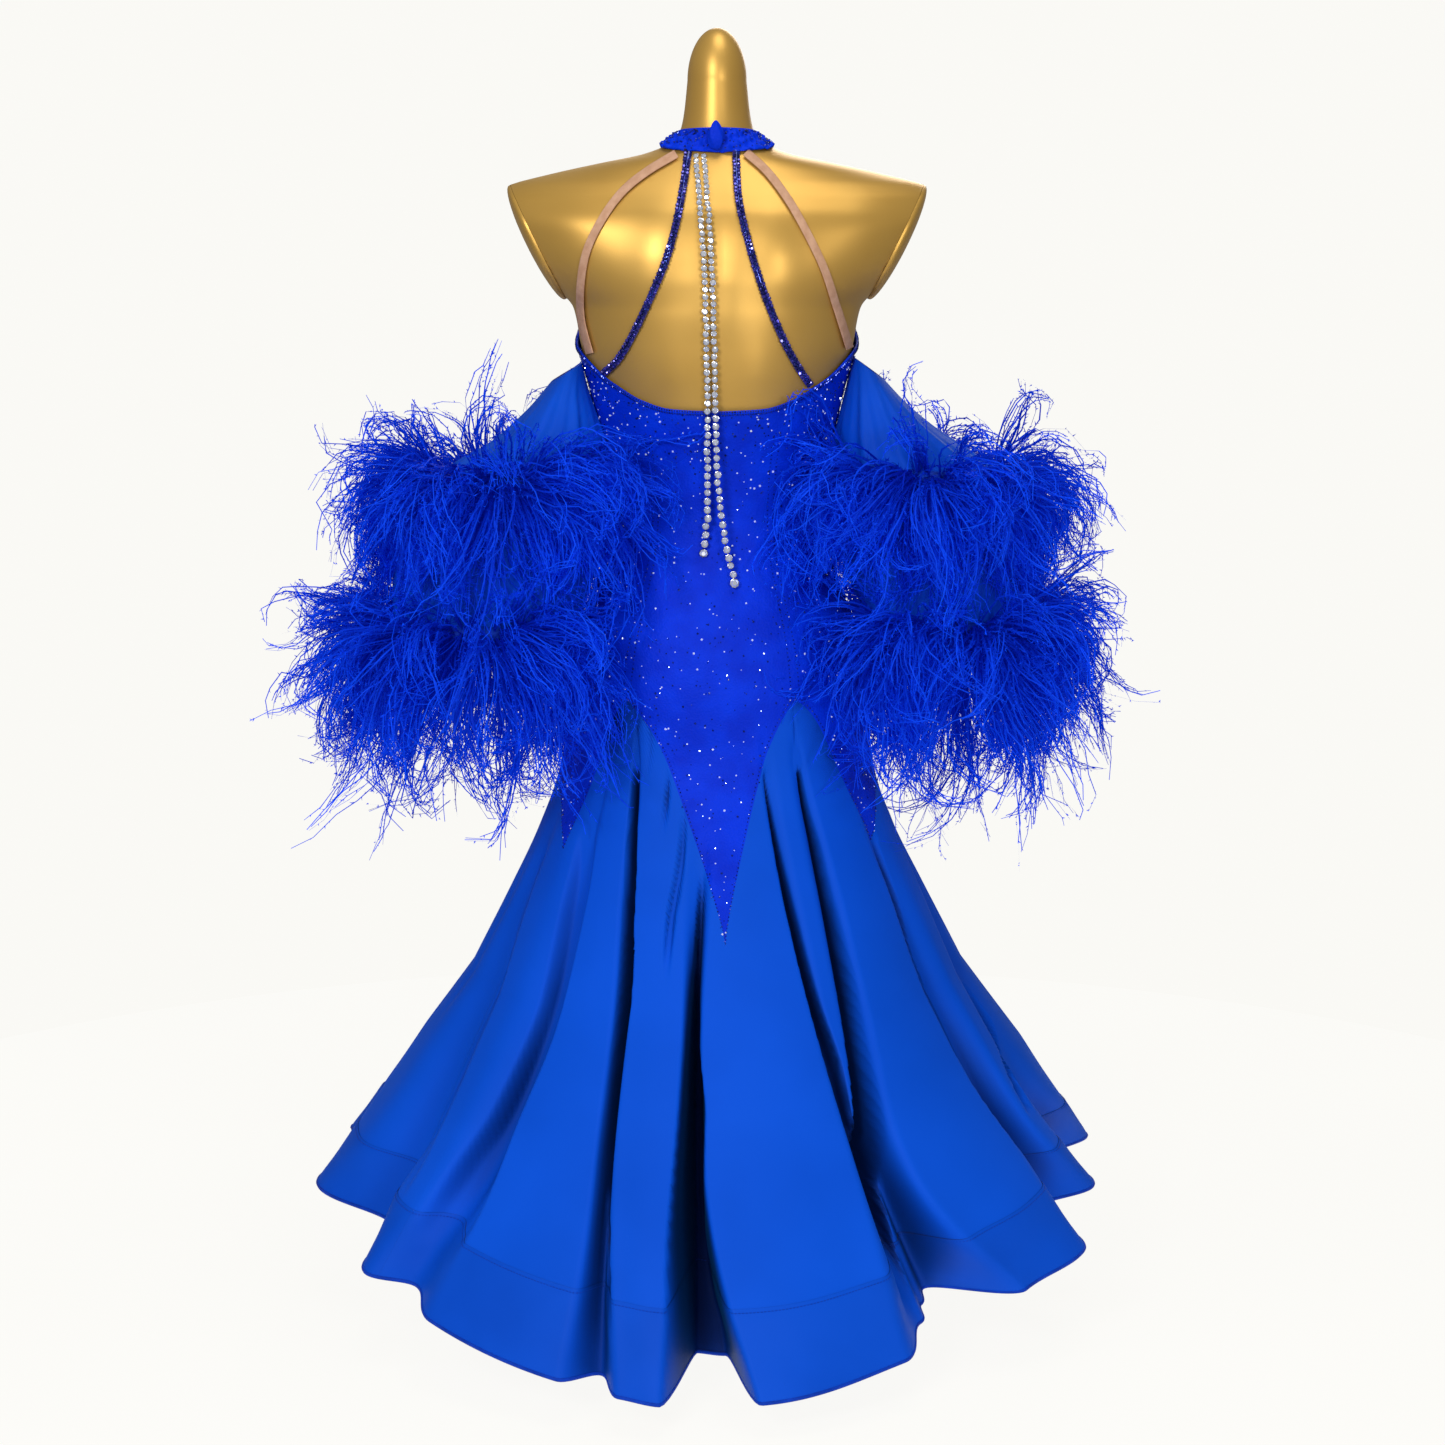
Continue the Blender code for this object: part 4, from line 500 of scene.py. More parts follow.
def body(turns, heights):
    """Points of the figure, or of the skirt's smooth envelope below the hip line."""
    turns, heights = np.broadcast_arrays(np.asarray(turns, float), np.asarray(heights, float))
    shape = turns.shape
    turns, heights = turns.ravel(), heights.ravel()
    angles = np.radians(turns)
    power = 2 / SECTION["squareness"](heights)
    s, c = np.sin(angles), np.cos(angles)
    depth = np.where(c > 0, SECTION["back"](heights), SECTION["front"](heights))
    x = SECTION["half_width"](heights) * np.sign(s) * np.abs(s) ** power
    y = -depth * np.sign(c) * np.abs(c) ** power
    y = y - np.where(c > 0, relief(x, heights), 0.0)
    return np.stack([x, y, lifted(heights, turns)], axis=-1).reshape(*shape, 3)


def normals_of(surface, turns, heights):
    along = surface(turns + NORMAL_TURN, heights) - surface(turns - NORMAL_TURN, heights)
    up = surface(turns, heights + NORMAL_RISE) - surface(turns, heights - NORMAL_RISE)
    out = np.cross(along, up)
    return out / np.linalg.norm(out, axis=-1, keepdims=True)


def body_normals(turns, heights):
    return normals_of(body, turns, heights)


def clearance(turns, heights):
    front = np.clip((np.abs(turn_between(turns, 0.0)) - BUST_TURN) / BUST_TURN_SPAN, 0.0, 1.0)
    upper = np.clip((heights - BODY_LINE) / BUST_RISE, 0.0, 1.0)
    return CLOTH_CLEARANCE + (BUST_CLEARANCE - CLOTH_CLEARANCE) * front * upper


def on_body(turns, heights, off):
    """Points this far outside the figure, over the room that cloth keeps. Folds then move them straight
    in towards the axis, so cloth never crosses itself."""
    turns, heights = np.broadcast_arrays(np.asarray(turns, float), np.asarray(heights, float))
    out = (clearance(turns, heights) + off)[..., None]
    points = body(turns, heights) + body_normals(turns, heights) * out
    flat, levels = turns.ravel(), heights.ravel()
    low = np.flatnonzero(levels < FOLD_TOP)
    if len(low):
        moved = points.reshape(-1, 3)
        reach = np.hypot(moved[low, 0], moved[low, 1])
        inward = 1 - valley_depths(flat[low], levels[low], reach) / reach
        moved[low, :2] *= inward[:, None]
        points = moved.reshape(points.shape)
    return points


def cloth_normals(turns, heights):
    return normals_of(lambda t, h: on_body(t, h, WALL), turns, heights)


def neckline(turns):
    return NECK(np.abs(turn_between(turns, 0.0)))


def turns_on_back(sides, heights):
    """The turns at which the back of the figure has these X at these heights."""
    low, high = np.full(len(sides), -90.0), np.full(len(sides), 90.0)
    for _ in range(30):
        middle = (low + high) / 2
        left = body(middle, heights)[:, 0] < sides
        low, high = np.where(left, middle, low), np.where(left, high, middle)
    return (low + high) / 2


def seam_turns(petal, heights):
    lines = through_levels(FOLD_TURNS, np.maximum(HEM_LINE, heights))
    k = FOLD_NAMES.index(petal["seam_line"])
    following = (k + 1) % len(FOLDS)
    return lines[k] + turn_between(lines[following], lines[k]) * petal["seam_share"]


def edge_turns(petal, godet, heights, near):
    """Turns of the seam between a petal and the godet beside it, above and below the point."""
    point = near + turn_between(seam_turns(petal, np.minimum(heights, petal["tip"])), near)
    side = near + turn_between(godet["turn"], near)
    share = np.clip((heights - petal["tip"]) / (godet["tip"] - petal["tip"]), 0.0, 1.0)
    return point + (side - point) * sum(weight * share**power for weight, power in PETAL_EDGE)


# Materials


def link(tree, a, b):
    tree.links.new(a, b)


def new_material(name, colour, roughness, metallic=0.0, **sockets):
    material = bpy.data.materials.new(name)
    material.use_nodes = True
    shader = material.node_tree.nodes["Principled BSDF"]
    shader.inputs["Base Color"].default_value = (*colour, 1.0)
    shader.inputs["Roughness"].default_value = roughness
    shader.inputs["Metallic"].default_value = metallic
    for key, value in sockets.items():
        shader.inputs[key.replace("_", " ")].default_value = value
    return material


def add_colours(material, scale, low, high, detail=3.0, attribute=None):
    """Colour that drifts between two tones with a noise, or with an attribute of the mesh."""
    tree = material.node_tree
    nodes = tree.nodes
    mix = nodes.new("ShaderNodeMix")
    mix.data_type = "RGBA"
    mix.inputs["A"].default_value = (*low, 1.0)
    mix.inputs["B"].default_value = (*high, 1.0)
    if attribute:
        source = nodes.new("ShaderNodeAttribute")
        source.attribute_name = attribute
        link(tree, source.outputs["Fac"], mix.inputs["Factor"])
    else:
        place = nodes.new("ShaderNodeTexCoord")
        noise = nodes.new("ShaderNodeTexNoise")
        noise.inputs["Scale"].default_value = scale
        noise.inputs["Detail"].default_value = detail
        spread = nodes.new("ShaderNodeMapRange")
        spread.inputs["From Min"].default_value = 0.35
        spread.inputs["From Max"].default_value = 0.65
        link(tree, place.outputs["Object"], noise.inputs["Vector"])
        link(tree, noise.outputs["Fac"], spread.inputs["Value"])
        link(tree, spread.outputs["Result"], mix.inputs["Factor"])
    link(tree, mix.outputs["Result"], nodes["Principled BSDF"].inputs["Base Color"])
    return material


def paint_fold_shade(material, reach, low, high, least):
    """Painted shade: the base colour is multiplied down deep in a narrow fold, where other cloth is close in
    front and little light reaches.
    """
    tree = material.node_tree
    nodes = tree.nodes
    target = nodes["Principled BSDF"].inputs["Base Color"]
    plain = target.links[0].from_socket
    near = nodes.new("ShaderNodeAmbientOcclusion")
    near.inputs["Distance"].default_value = reach
    spread = nodes.new("ShaderNodeMapRange")
    spread.inputs["From Min"].default_value = low
    spread.inputs["From Max"].default_value = high
    spread.inputs["To Min"].default_value = least
    dim = nodes.new("ShaderNodeMix")
    dim.data_type = "RGBA"
    dim.blend_type = "MULTIPLY"
    dim.inputs["Factor"].default_value = 1.0
    link(tree, near.outputs["AO"], spread.inputs["Value"])
    link(tree, plain, dim.inputs["A"])
    link(tree, spread.outputs["Result"], dim.inputs["B"])
    link(tree, dim.outputs["Result"], target)
    return material


def add_bump(material, layers):
    """Relief from one or more textures: kind, scale, height in metres."""
    tree = material.node_tree
    nodes = tree.nodes
    place = nodes.new("ShaderNodeTexCoord")
    last = None
    for kind, scale, height in layers:
        texture = nodes.new({"noise": "ShaderNodeTexNoise", "cells": "ShaderNodeTexVoronoi"}[kind])
        texture.inputs["Scale"].default_value = scale
        bump = nodes.new("ShaderNodeBump")
        bump.inputs["Distance"].default_value = height
        bump.inputs["Strength"].default_value = 1.0
        link(tree, place.outputs["Object"], texture.inputs["Vector"])
        link(tree, texture.outputs["Distance" if kind == "cells" else "Fac"], bump.inputs["Height"])
        if last:
            link(tree, last.outputs["Normal"], bump.inputs["Normal"])
        last = bump
    link(tree, last.outputs["Normal"], nodes["Principled BSDF"].inputs["Normal"])
    return material


def make_materials():
    gold = new_material("gold_lacquer", (0.70, 0.40, 0.085), 0.42, 0.60, Specular_IOR_Level=0.5)
    add_colours(gold, 6.0, (0.67, 0.38, 0.075), (0.73, 0.43, 0.095))
    add_bump(gold, [("noise", 9.0, 0.0006), ("noise", 900.0, 0.00004)])
    sparkle = new_material("sparkle_blue", (0.0, 0.030, 0.66), 0.55, 0.0, Specular_IOR_Level=0.08)
    add_colours(sparkle, 26.0, (0.0, 0.024, 0.58), (0.0, 0.037, 0.74))
    add_bump(sparkle, [("noise", 34.0, 0.0012), ("cells", 420.0, 0.00035)])
    crepe = new_material("satin_crepe", (0.001, 0.076, 0.64), 0.60, 0.0,
                         Sheen_Weight=0.06, Specular_IOR_Level=0.07,
                         Sheen_Tint=(0.0, 0.35, 1.0, 1.0))
    add_colours(crepe, 5.0, (0.0010, 0.074, 0.60), (0.0020, 0.087, 0.69))
    # Painted shade: the crepe's colour is darkened deep in its folds.
    paint_fold_shade(crepe, 0.09, 0.28, 0.80, 0.16)
    add_bump(crepe, [("noise", 11.0, 0.0016), ("noise", 1500.0, 0.00006)])
    hem = new_material("hem_crepe", (0.001, 0.070, 0.58), 0.58, 0.0,
                       Sheen_Weight=0.06, Specular_IOR_Level=0.08,
                       Sheen_Tint=(0.0, 0.35, 1.0, 1.0), Alpha=0.985)
    add_colours(hem, 7.0, (0.0005, 0.065, 0.54), (0.0015, 0.077, 0.62))
    # Painted shade: the hem crepe's colour is darkened deep in its folds.
    paint_fold_shade(hem, 0.09, 0.28, 0.80, 0.16)
    add_bump(hem, [("noise", 16.0, 0.0014), ("noise", 1500.0, 0.00006)])
    roll = new_material("hem_roll", (0.0, 0.038, 0.42), 0.60, 0.0, Sheen_Weight=0.05, Specular_IOR_Level=0.1)
    add_colours(roll, 60.0, (0.0, 0.032, 0.36), (0.001, 0.045, 0.48))
    add_bump(roll, [("noise", 300.0, 0.0006)])
    chiffon = new_material("sheer_chiffon", (0.001, 0.074, 0.62), 0.60, 0.0, Sheen_Weight=0.08, Alpha=0.96,
                           Specular_IOR_Level=0.08, Sheen_Tint=(0.0, 0.35, 1.0, 1.0))
    add_colours(chiffon, 8.0, (0.0005, 0.064, 0.56), (0.002, 0.084, 0.68))
    add_bump(chiffon, [("noise", 20.0, 0.0015), ("noise", 1800.0, 0.00005)])
    # Painted glow: the feathers' weak blue emission stands in for light shining through the barbs.
    plume = new_material("feather_blue", (0.0, 0.03, 0.85), 0.65, 0.0, Specular_IOR_Level=0.05,
                         Emission_Strength=0.06, Emission_Color=(0.0, 0.03, 1.0, 1.0))
    # Painted shade: the plume's colour runs from dark to light with the strands' painted shade and random
    # tint.
    add_colours(plume, 1.0, (0.0, 0.002, 0.30), (0.004, 0.085, 1.0), attribute="painted_shade_and_tint")
    nude = new_material("nude_elastic", (0.60, 0.34, 0.21), 0.65, Specular_IOR_Level=0.2)
    add_colours(nude, 120.0, (0.55, 0.30, 0.18), (0.65, 0.38, 0.24))
    add_bump(nude, [("noise", 1400.0, 0.0002)])
    dark = new_material("dark_stones", (0.020, 0.014, 0.22), 0.08, 0.55, Coat_Weight=0.6)
    add_colours(dark, 190.0, (0.006, 0.006, 0.10), (0.07, 0.06, 0.50))
    # Painted glint: the clear stones of the strands glow a little, standing in for sparkle.
    clear = new_material("clear_stones", (0.80, 0.84, 0.92), 0.06, 0.85, Emission_Strength=0.22,
                         Emission_Color=(0.85, 0.90, 1.0, 1.0))
    add_colours(clear, 120.0, (0.55, 0.60, 0.72), (0.98, 0.98, 1.0))
    # Painted glint: the glint stones of the bodice glow a little, standing in for sparkle.
    glint = new_material("glint_stones", (0.75, 0.82, 1.0), 0.10, 0.55, Emission_Strength=0.30,
                         Emission_Color=(0.70, 0.80, 1.0, 1.0))
    add_colours(glint, 90.0, (0.45, 0.55, 0.90), (0.95, 0.97, 1.0))
    blue_stones = new_material("blue_stones", (0.004, 0.010, 0.16), 0.10, 0.6, Coat_Weight=0.4)
    add_colours(blue_stones, 90.0, (0.001, 0.004, 0.07), (0.02, 0.06, 0.42))
    silver = new_material("silver_cups", (0.50, 0.50, 0.52), 0.25, 1.0)
    add_colours(silver, 200.0, (0.36, 0.36, 0.38), (0.62, 0.62, 0.64))
    steel = new_material("brushed_steel", (0.60, 0.60, 0.58), 0.32, 1.0)
    add_colours(steel, 40.0, (0.52, 0.52, 0.50), (0.66, 0.66, 0.64))
    add_bump(steel, [("noise", 500.0, 0.00005)])
    return {
        "gold": gold, "sparkle": sparkle, "crepe": crepe, "hem": hem, "roll": roll, "chiffon": chiffon,
        "plume": plume, "nude": nude, "dark": dark, "clear": clear, "glint": glint,
        "blue_stones": blue_stones, "silver": silver, "steel": steel,
    }


# Meshes


def add_object(name, mesh, material, smooth=True):
    mesh.materials.append(material)
    if smooth:
        mesh.shade_smooth()
    placed = bpy.data.objects.new(name, mesh)
    bpy.context.scene.collection.objects.link(placed)
    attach(placed, "root")
    return placed


def mesh_from(name, points, faces, material, smooth=True):
    mesh = bpy.data.meshes.new(name)
    mesh.from_pydata(np.asarray(points, float).reshape(-1, 3).tolist(), [], np.asarray(faces).tolist())
    mesh.update()
    return add_object(name, mesh, material, smooth)


def grid_faces(rows, columns, ring=False):
    spans = columns if ring else columns - 1
    i, j = np.meshgrid(np.arange(rows - 1), np.arange(spans), indexing="ij")
    k = (j + 1) % columns
    near, far = i * columns, (i + 1) * columns
    return np.stack([near + j, far + j, far + k, near + k], -1).reshape(-1, 4)


def sheet_from(name, grid, material, ring=False, thickness=0.0, rim=True):
    """A sheet of cloth from a grid of points, rows down and columns across."""
    rows, columns = grid.shape[:2]
    placed = mesh_from(name, grid, grid_faces(rows, columns, ring), material)
    if thickness:
        wall = placed.modifiers.new("wall", "SOLIDIFY")
        wall.thickness, wall.offset = thickness, 0.0
        wall.use_rim = rim
    return placed


def declare_cut(grid, ring=False):
    """Works out the flat cut: the widest row, the longest column, and the area that the rows enclose. Nothing
    is kept or returned.
    """
    closed = np.concatenate([grid, grid[:, :1]], axis=1) if ring else grid
    widths = np.linalg.norm(np.diff(closed, axis=1), axis=-1).sum(axis=1)
    drops = np.linalg.norm(np.diff(grid, axis=0), axis=-1)
    length = drops.sum(axis=0).max()
    area = float(((widths[1:] + widths[:-1]) / 2 * drops.mean(axis=1)).sum())
    flat = (round(float(widths.max()), 3), round(float(length), 3))
    area = min(max(area, 0.31 * flat[0] * flat[1]), flat[0] * flat[1])


def repeated(name, template, faces, centres, normals, alongs, sizes, material, smooth=False):
    """Copies of a small template joined into one mesh, each turned to its own normal."""
    normals = normals / np.linalg.norm(normals, axis=1, keepdims=True)
    alongs = alongs - normals * (alongs * normals).sum(axis=1, keepdims=True)
    alongs = alongs / np.linalg.norm(alongs, axis=1, keepdims=True)
    across = np.cross(normals, alongs)
    axes = np.stack([alongs, across, normals], axis=1)
    points = centres[:, None, :] + np.einsum("tk,nkd->ntd", template, axes) * sizes[:, None, None]
    shift = (np.arange(len(centres)) * len(template))[:, None]
    all_faces = []
    for face in faces:
        all_faces += (np.array(face)[None, :] + shift).tolist()
    return faces_object(name, points.reshape(-1, 3), all_faces, material, smooth)


def faces_object(name, points, faces, material, smooth=False):
    mesh = bpy.data.meshes.new(name)
    mesh.from_pydata(points.tolist(), [], faces)
    mesh.update()
    return add_object(name, mesh, material, smooth)


def stone_template(sides, table=0.58, crown=0.30, base=0.18):
    """A faceted stone of unit diameter: a girdle, a table turned by half a side, and a foot."""
    a = 2 * np.pi * np.arange(sides) / sides
    girdle = np.stack([np.cos(a) / 2, np.sin(a) / 2, np.full(sides, base)], axis=1)
    b = a + np.pi / sides
    top = np.stack([np.cos(b) * table / 2, np.sin(b) * table / 2, np.full(sides, base + crown)], axis=1)
    foot = girdle * np.array([0.9, 0.9, 0.0])
    points = np.concatenate([girdle, top, foot])
    faces = [list(range(sides, 2 * sides))]
    for k in range(sides):
        n = (k + 1) % sides
        faces.append([k, n, sides + k])
        faces.append([n, sides + n, sides + k])
        faces.append([2 * sides + k, 2 * sides + n, n, k])
    return points, faces


def small_stone_template(sides=4):
    a = 2 * np.pi * np.arange(sides) / sides
    girdle = np.stack([np.cos(a) / 2, np.sin(a) / 2, np.zeros(sides)], axis=1)
    top = np.stack([np.cos(a) * 0.28, np.sin(a) * 0.28, np.full(sides, 0.32)], axis=1)
    points = np.concatenate([girdle, top])
    faces = [list(range(sides, 2 * sides))]
    for k in range(sides):
        n = (k + 1) % sides
        faces.append([k, n, sides + n, sides + k])
    return points, faces


# The form


def make_form(look):
    steps = 168
    heights = np.concatenate([
        np.linspace(FORM_BOTTOM, 0.90, 32)[:-1], np.linspace(0.90, 1.19, 92)[:-1],
        np.linspace(1.19, 1.23, 20)[:-1], np.linspace(1.23, CAP_LINE, 18)[:-1],
    ])
    cap = np.radians(np.linspace(0.0, 88.0, 30))
    heights = np.concatenate([heights, CAP_LINE + (NECK_CAP_TOP - CAP_LINE) * np.sin(cap)])
    turns = 360.0 * np.arange(steps) / steps
    rings = body(turns[None, :], np.minimum(heights, CAP_LINE)[:, None])
    over = np.maximum(0.0, (heights - CAP_LINE) / (NECK_CAP_TOP - CAP_LINE))
    rings[:, :, :2] *= np.sqrt(1 - over**2)[:, None, None]
    rings[:, :, 2] = heights[:, None]
    foot = rings[0] * np.array([FOOT_SHARE, FOOT_SHARE, 1.0])
    foot[:, 2] = FORM_BOTTOM - FOOT_DROP
    round_edge = rings[0] * np.array([0.97, 0.97, 1.0])
    round_edge[:, 2] = FORM_BOTTOM - 0.5 * FOOT_DROP
    rings = np.concatenate([foot[None], round_edge[None], rings])
    made = bmesh.new()
    verts = [[made.verts.new(p) for p in ring] for ring in rings]
    for low, high in zip(verts, verts[1:]):
        for j in range(steps):
            k = (j + 1) % steps
            made.faces.new((low[j], low[k], high[k], high[j]))
    made.faces.new(verts[0][::-1])
    top = made.verts.new((0.0, 0.0, NECK_CAP_TOP))
    for j in range(steps):
        made.faces.new((verts[-1][j], verts[-1][(j + 1) % steps], top))
    caps = []
    for name, side in (("left", -1.0), ("right", 1.0)):
        high, low = Vector(ARM_CUT_TOP), Vector(ARM_CUT_BOTTOM)
        run = (high - low).normalized()
        middle = (high + low) / 2
        point, normal = Vector((side * middle.x, 0.0, middle.y)), Vector((side * run.y, 0.0, -run.x))
        near = [f for f in made.faces if min(v.co.z for v in f.verts) > ARM_CUT_BOTTOM[1] - CUT_REACH]
        corners = dict.fromkeys(v for f in near for v in f.verts)
        edges = dict.fromkeys(e for f in near for e in f.edges)
        cut = bmesh.ops.bisect_plane(
            made, geom=[*corners, *edges, *near], dist=SAME_PLACE,
            plane_co=point, plane_no=normal, clear_outer=True,
        )
        edges = [g for g in cut["geom_cut"] if isinstance(g, bmesh.types.BMEdge)]
        filled = bmesh.ops.contextual_create(made, geom=edges)["faces"]
        rim = [loop.vert.co.copy() for loop in filled[0].loops]
        caps.append((name, rim, normal))
    bmesh.ops.recalc_face_normals(made, faces=made.faces)
    mesh = bpy.data.meshes.new("form_body")
    made.to_mesh(mesh)
    made.free()
    form = add_object("form_body", mesh, look["gold"])
    mesh.set_sharp_from_angle(angle=math.radians(40))
    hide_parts("dress_form")
    for name, rim, normal in caps:
        make_arm_cap(name, rim, normal, look)


def make_arm_cap(name, rim, normal, look):
    centre = sum(rim, Vector()) / len(rim)
    dome = np.radians(np.linspace(0.0, 84.0, 12))
    rises = SEAM_GAP + ARM_CAP_EDGE + (ARM_CAP_BULGE - ARM_CAP_EDGE) * np.sin(dome)
    profile = [(1.0, SEAM_GAP), *zip(np.cos(dome), rises)]
    rings = [[centre + (p - centre) * share + normal * rise for p in rim] for share, rise in profile]
    count = len(rim)
    middle = centre + normal * (SEAM_GAP + ARM_CAP_BULGE)
    points = np.array([list(p) for ring in rings for p in ring] + [list(middle)])
    faces = grid_faces(len(rings), count, ring=True).tolist()
    last = (len(rings) - 1) * count
    faces += [[last + j, last + (j + 1) % count, len(points) - 1] for j in range(count)]
    made = faces_object(f"form_arm_cap_{name}", points, faces, look["gold"], smooth=True)
    fix_normals(made)
    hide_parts(f"arm_cap_{name}")


def fix_normals(placed):
    made = bmesh.new()
    made.from_mesh(placed.data)
    bmesh.ops.recalc_face_normals(made, faces=made.faces)
    made.to_mesh(placed.data)
    made.free()


# Bodice and skirt

PANEL_COLUMNS = 36


def panel_grid(index):
    petal = PETAL_ROWS[index]
    left, right = GODET_ROWS[index - 1], GODET_ROWS[index]
    middle = left["turn"] + turn_between(right["turn"], left["turn"]) / 2
    across = np.linspace(0.0, 1.0, PANEL_COLUMNS)

    def turns_at(heights):
        low = edge_turns(petal, left, heights, middle)
        high = edge_turns(petal, right, heights, middle)
        return low[:, None] + np.maximum(high - low, 0.12)[:, None] * across[None, :]

    upper_turns = turns_at(np.array([BODY_LINE]))[0]
    tops = neckline(upper_turns) - BINDING_HEIGHT / 2
    shares = np.linspace(0.0, 1.0, 26)[:-1]
    upper_heights = tops[None, :] + (BODY_LINE - tops)[None, :] * shares[:, None]
    lower = np.linspace(BODY_LINE, petal["tip"], 74)
    turns = np.concatenate([np.repeat(upper_turns[None, :], len(shares), 0), turns_at(lower)])
    heights = np.concatenate([upper_heights, np.repeat(lower[:, None], PANEL_COLUMNS, 1)])
    return turns, heights


def make_panels(look):
    for index, petal in enumerate(PETAL_ROWS):
        turns, heights = panel_grid(index)
        grid = on_body(turns, heights, WALL)
        cloth = sheet_from(petal["name"].replace("panel", "cloth_panel"), grid, look["sparkle"])
        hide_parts(petal["name"])
        declare_cut(grid)


BACK_COLUMNS, OTHER_COLUMNS = 150, 104
GODET_LEVELS = 92


def godet_turns(index, heights):
    """Turns of a godet's columns, a row for each height."""
    left, right = PETAL_ROWS[index], PETAL_ROWS[(index + 1) % len(PETAL_ROWS)]
    godet = GODET_ROWS[index]
    low, high = (edge_turns(petal, godet, heights, godet["turn"]) for petal in (left, right))
    columns = BACK_COLUMNS if abs(godet["turn"]) < 60 else OTHER_COLUMNS
    return low[:, None] + (high - low)[:, None] * np.linspace(0.0, 1.0, columns)[None, :]


def make_skirt(look):
    band_heights = np.linspace(BAND_LINE, HEM_LINE, 13)
    roll_rows, stitch_rows = [], []
    for index, godet in enumerate(GODET_ROWS):
        top = godet["tip"] - 0.0012
        heights = BAND_LINE + (top - BAND_LINE) * np.linspace(1.0, 0.0, GODET_LEVELS)
        turns = godet_turns(index, heights)
        grid = on_body(turns, heights[:, None], WALL)
        cloth = sheet_from(godet["name"].replace("godet", "skirt_godet"), grid, look["crepe"])
        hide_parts(godet["name"])
        band_name = godet["name"].replace("godet", "hem_band")
        turns = godet_turns(index, band_heights)
        outward = WALL + 0.0008 * smooth_step((BAND_LINE - band_heights) / 0.004)
        band_grid = on_body(turns, band_heights[:, None], outward[:, None])
        band = sheet_from(band_name.replace("hem", "skirt_hem"), band_grid, look["hem"], thickness=0.0009,
                          rim=False)
        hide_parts(band_name)
        declare_cut(grid)
        declare_cut(band_grid)
        roll_rows.append((turns[-1], np.full(turns.shape[1], HEM_LINE)))
        stitch_rows.append(turns[1])
    make_hem_roll(roll_rows, look)
    make_hem_stitches(stitch_rows, look)


def make_hem_roll(rows, look):
    turns = np.concatenate([row[0][:-1] for row in rows])
    heights = np.full(len(turns), HEM_LINE)
    line = on_body(turns, heights, WALL + 0.0006)
    ahead = np.roll(line, -1, axis=0) - np.roll(line, 1, axis=0)
    ahead /= np.linalg.norm(ahead, axis=1, keepdims=True)
    up = np.array([0.0, 0.0, 1.0])
    side = np.cross(ahead, up)
    side /= np.linalg.norm(side, axis=1, keepdims=True)
    rise = np.cross(side, ahead)
    angles = 2 * np.pi * np.arange(6) / 6
    rings = [line + side * 0.0014 * math.cos(a) + rise * 0.0020 * math.sin(a) for a in angles]
    roll = sheet_from("skirt_hem_roll", np.stack(rings, axis=1), look["roll"])
    close_ring(roll, len(line), 6)


def close_ring(placed, count, sides):
    """Rebuilds the faces of a closed tube: both ways round."""
    points = [v.co.copy() for v in placed.data.vertices]
    faces = []
    for i in range(count):
        for j in range(sides):
            a, b = i, (i + 1) % count
            k = (j + 1) % sides
            faces.append([a * sides + j, b * sides + j, b * sides + k, a * sides + k])
    materials = list(placed.data.materials)
    mesh = bpy.data.meshes.new(placed.name + "_tube")
    mesh.from_pydata([list(p) for p in points], [], faces)
    mesh.update()
    mesh.shade_smooth()
    for material in materials:
        mesh.materials.append(material)
    placed.data = mesh


def spaced(points, pitch):
    """Points and directions at an even pitch along a line."""
    lengths = np.concatenate([[0.0], np.cumsum(np.linalg.norm(np.diff(points, axis=0), axis=1))])
    wanted = np.arange(pitch / 2, lengths[-1], pitch)
    placed = np.stack([np.interp(wanted, lengths, points[:, k]) for k in range(3)], axis=1)
    later = [np.interp(wanted + pitch / 4, lengths, points[:, k]) for k in range(3)]
    ahead = np.stack(later, axis=1) - placed
    return placed, ahead


def make_hem_stitches(rows, look):
    centres, normals, alongs = [], [], []
    for turns in rows:
        heights = np.full(len(turns), BAND_LINE - 0.0035)
        line = on_body(turns, heights, WALL + 0.0011)
        out = cloth_normals(turns, heights)
        points, ahead = spaced(line, 0.0036)
        normal, _ = spaced_like(line, out, 0.0036)
        centres.append(points)
        normals.append(normal)
        alongs.append(ahead)
    centres, normals, alongs = (np.concatenate(a) for a in (centres, normals, alongs))
    template = np.array([
        (-0.5, -0.12, 0), (0.5, -0.12, 0), (0.5, 0.12, 0), (-0.5, 0.12, 0), (-0.3, 0, 0.16), (0.3, 0, 0.16),
    ])
    faces = [[0, 1, 5, 4], [2, 3, 4, 5], [1, 2, 5], [3, 0, 4]]
    stitches = repeated("skirt_hem_stitches", template, faces, centres, normals, alongs,
                        np.full(len(centres), 0.0024), look["roll"])


def spaced_like(line, values, pitch):
    lengths = np.concatenate([[0.0], np.cumsum(np.linalg.norm(np.diff(line, axis=0), axis=1))])
    wanted = np.arange(pitch / 2, lengths[-1], pitch)
    return np.stack([np.interp(wanted, lengths, values[:, k]) for k in range(3)], axis=1), wanted


# Stones on the bodice


STONES_PER_AREA = 7600
BRIGHT_SHARE = 0.30


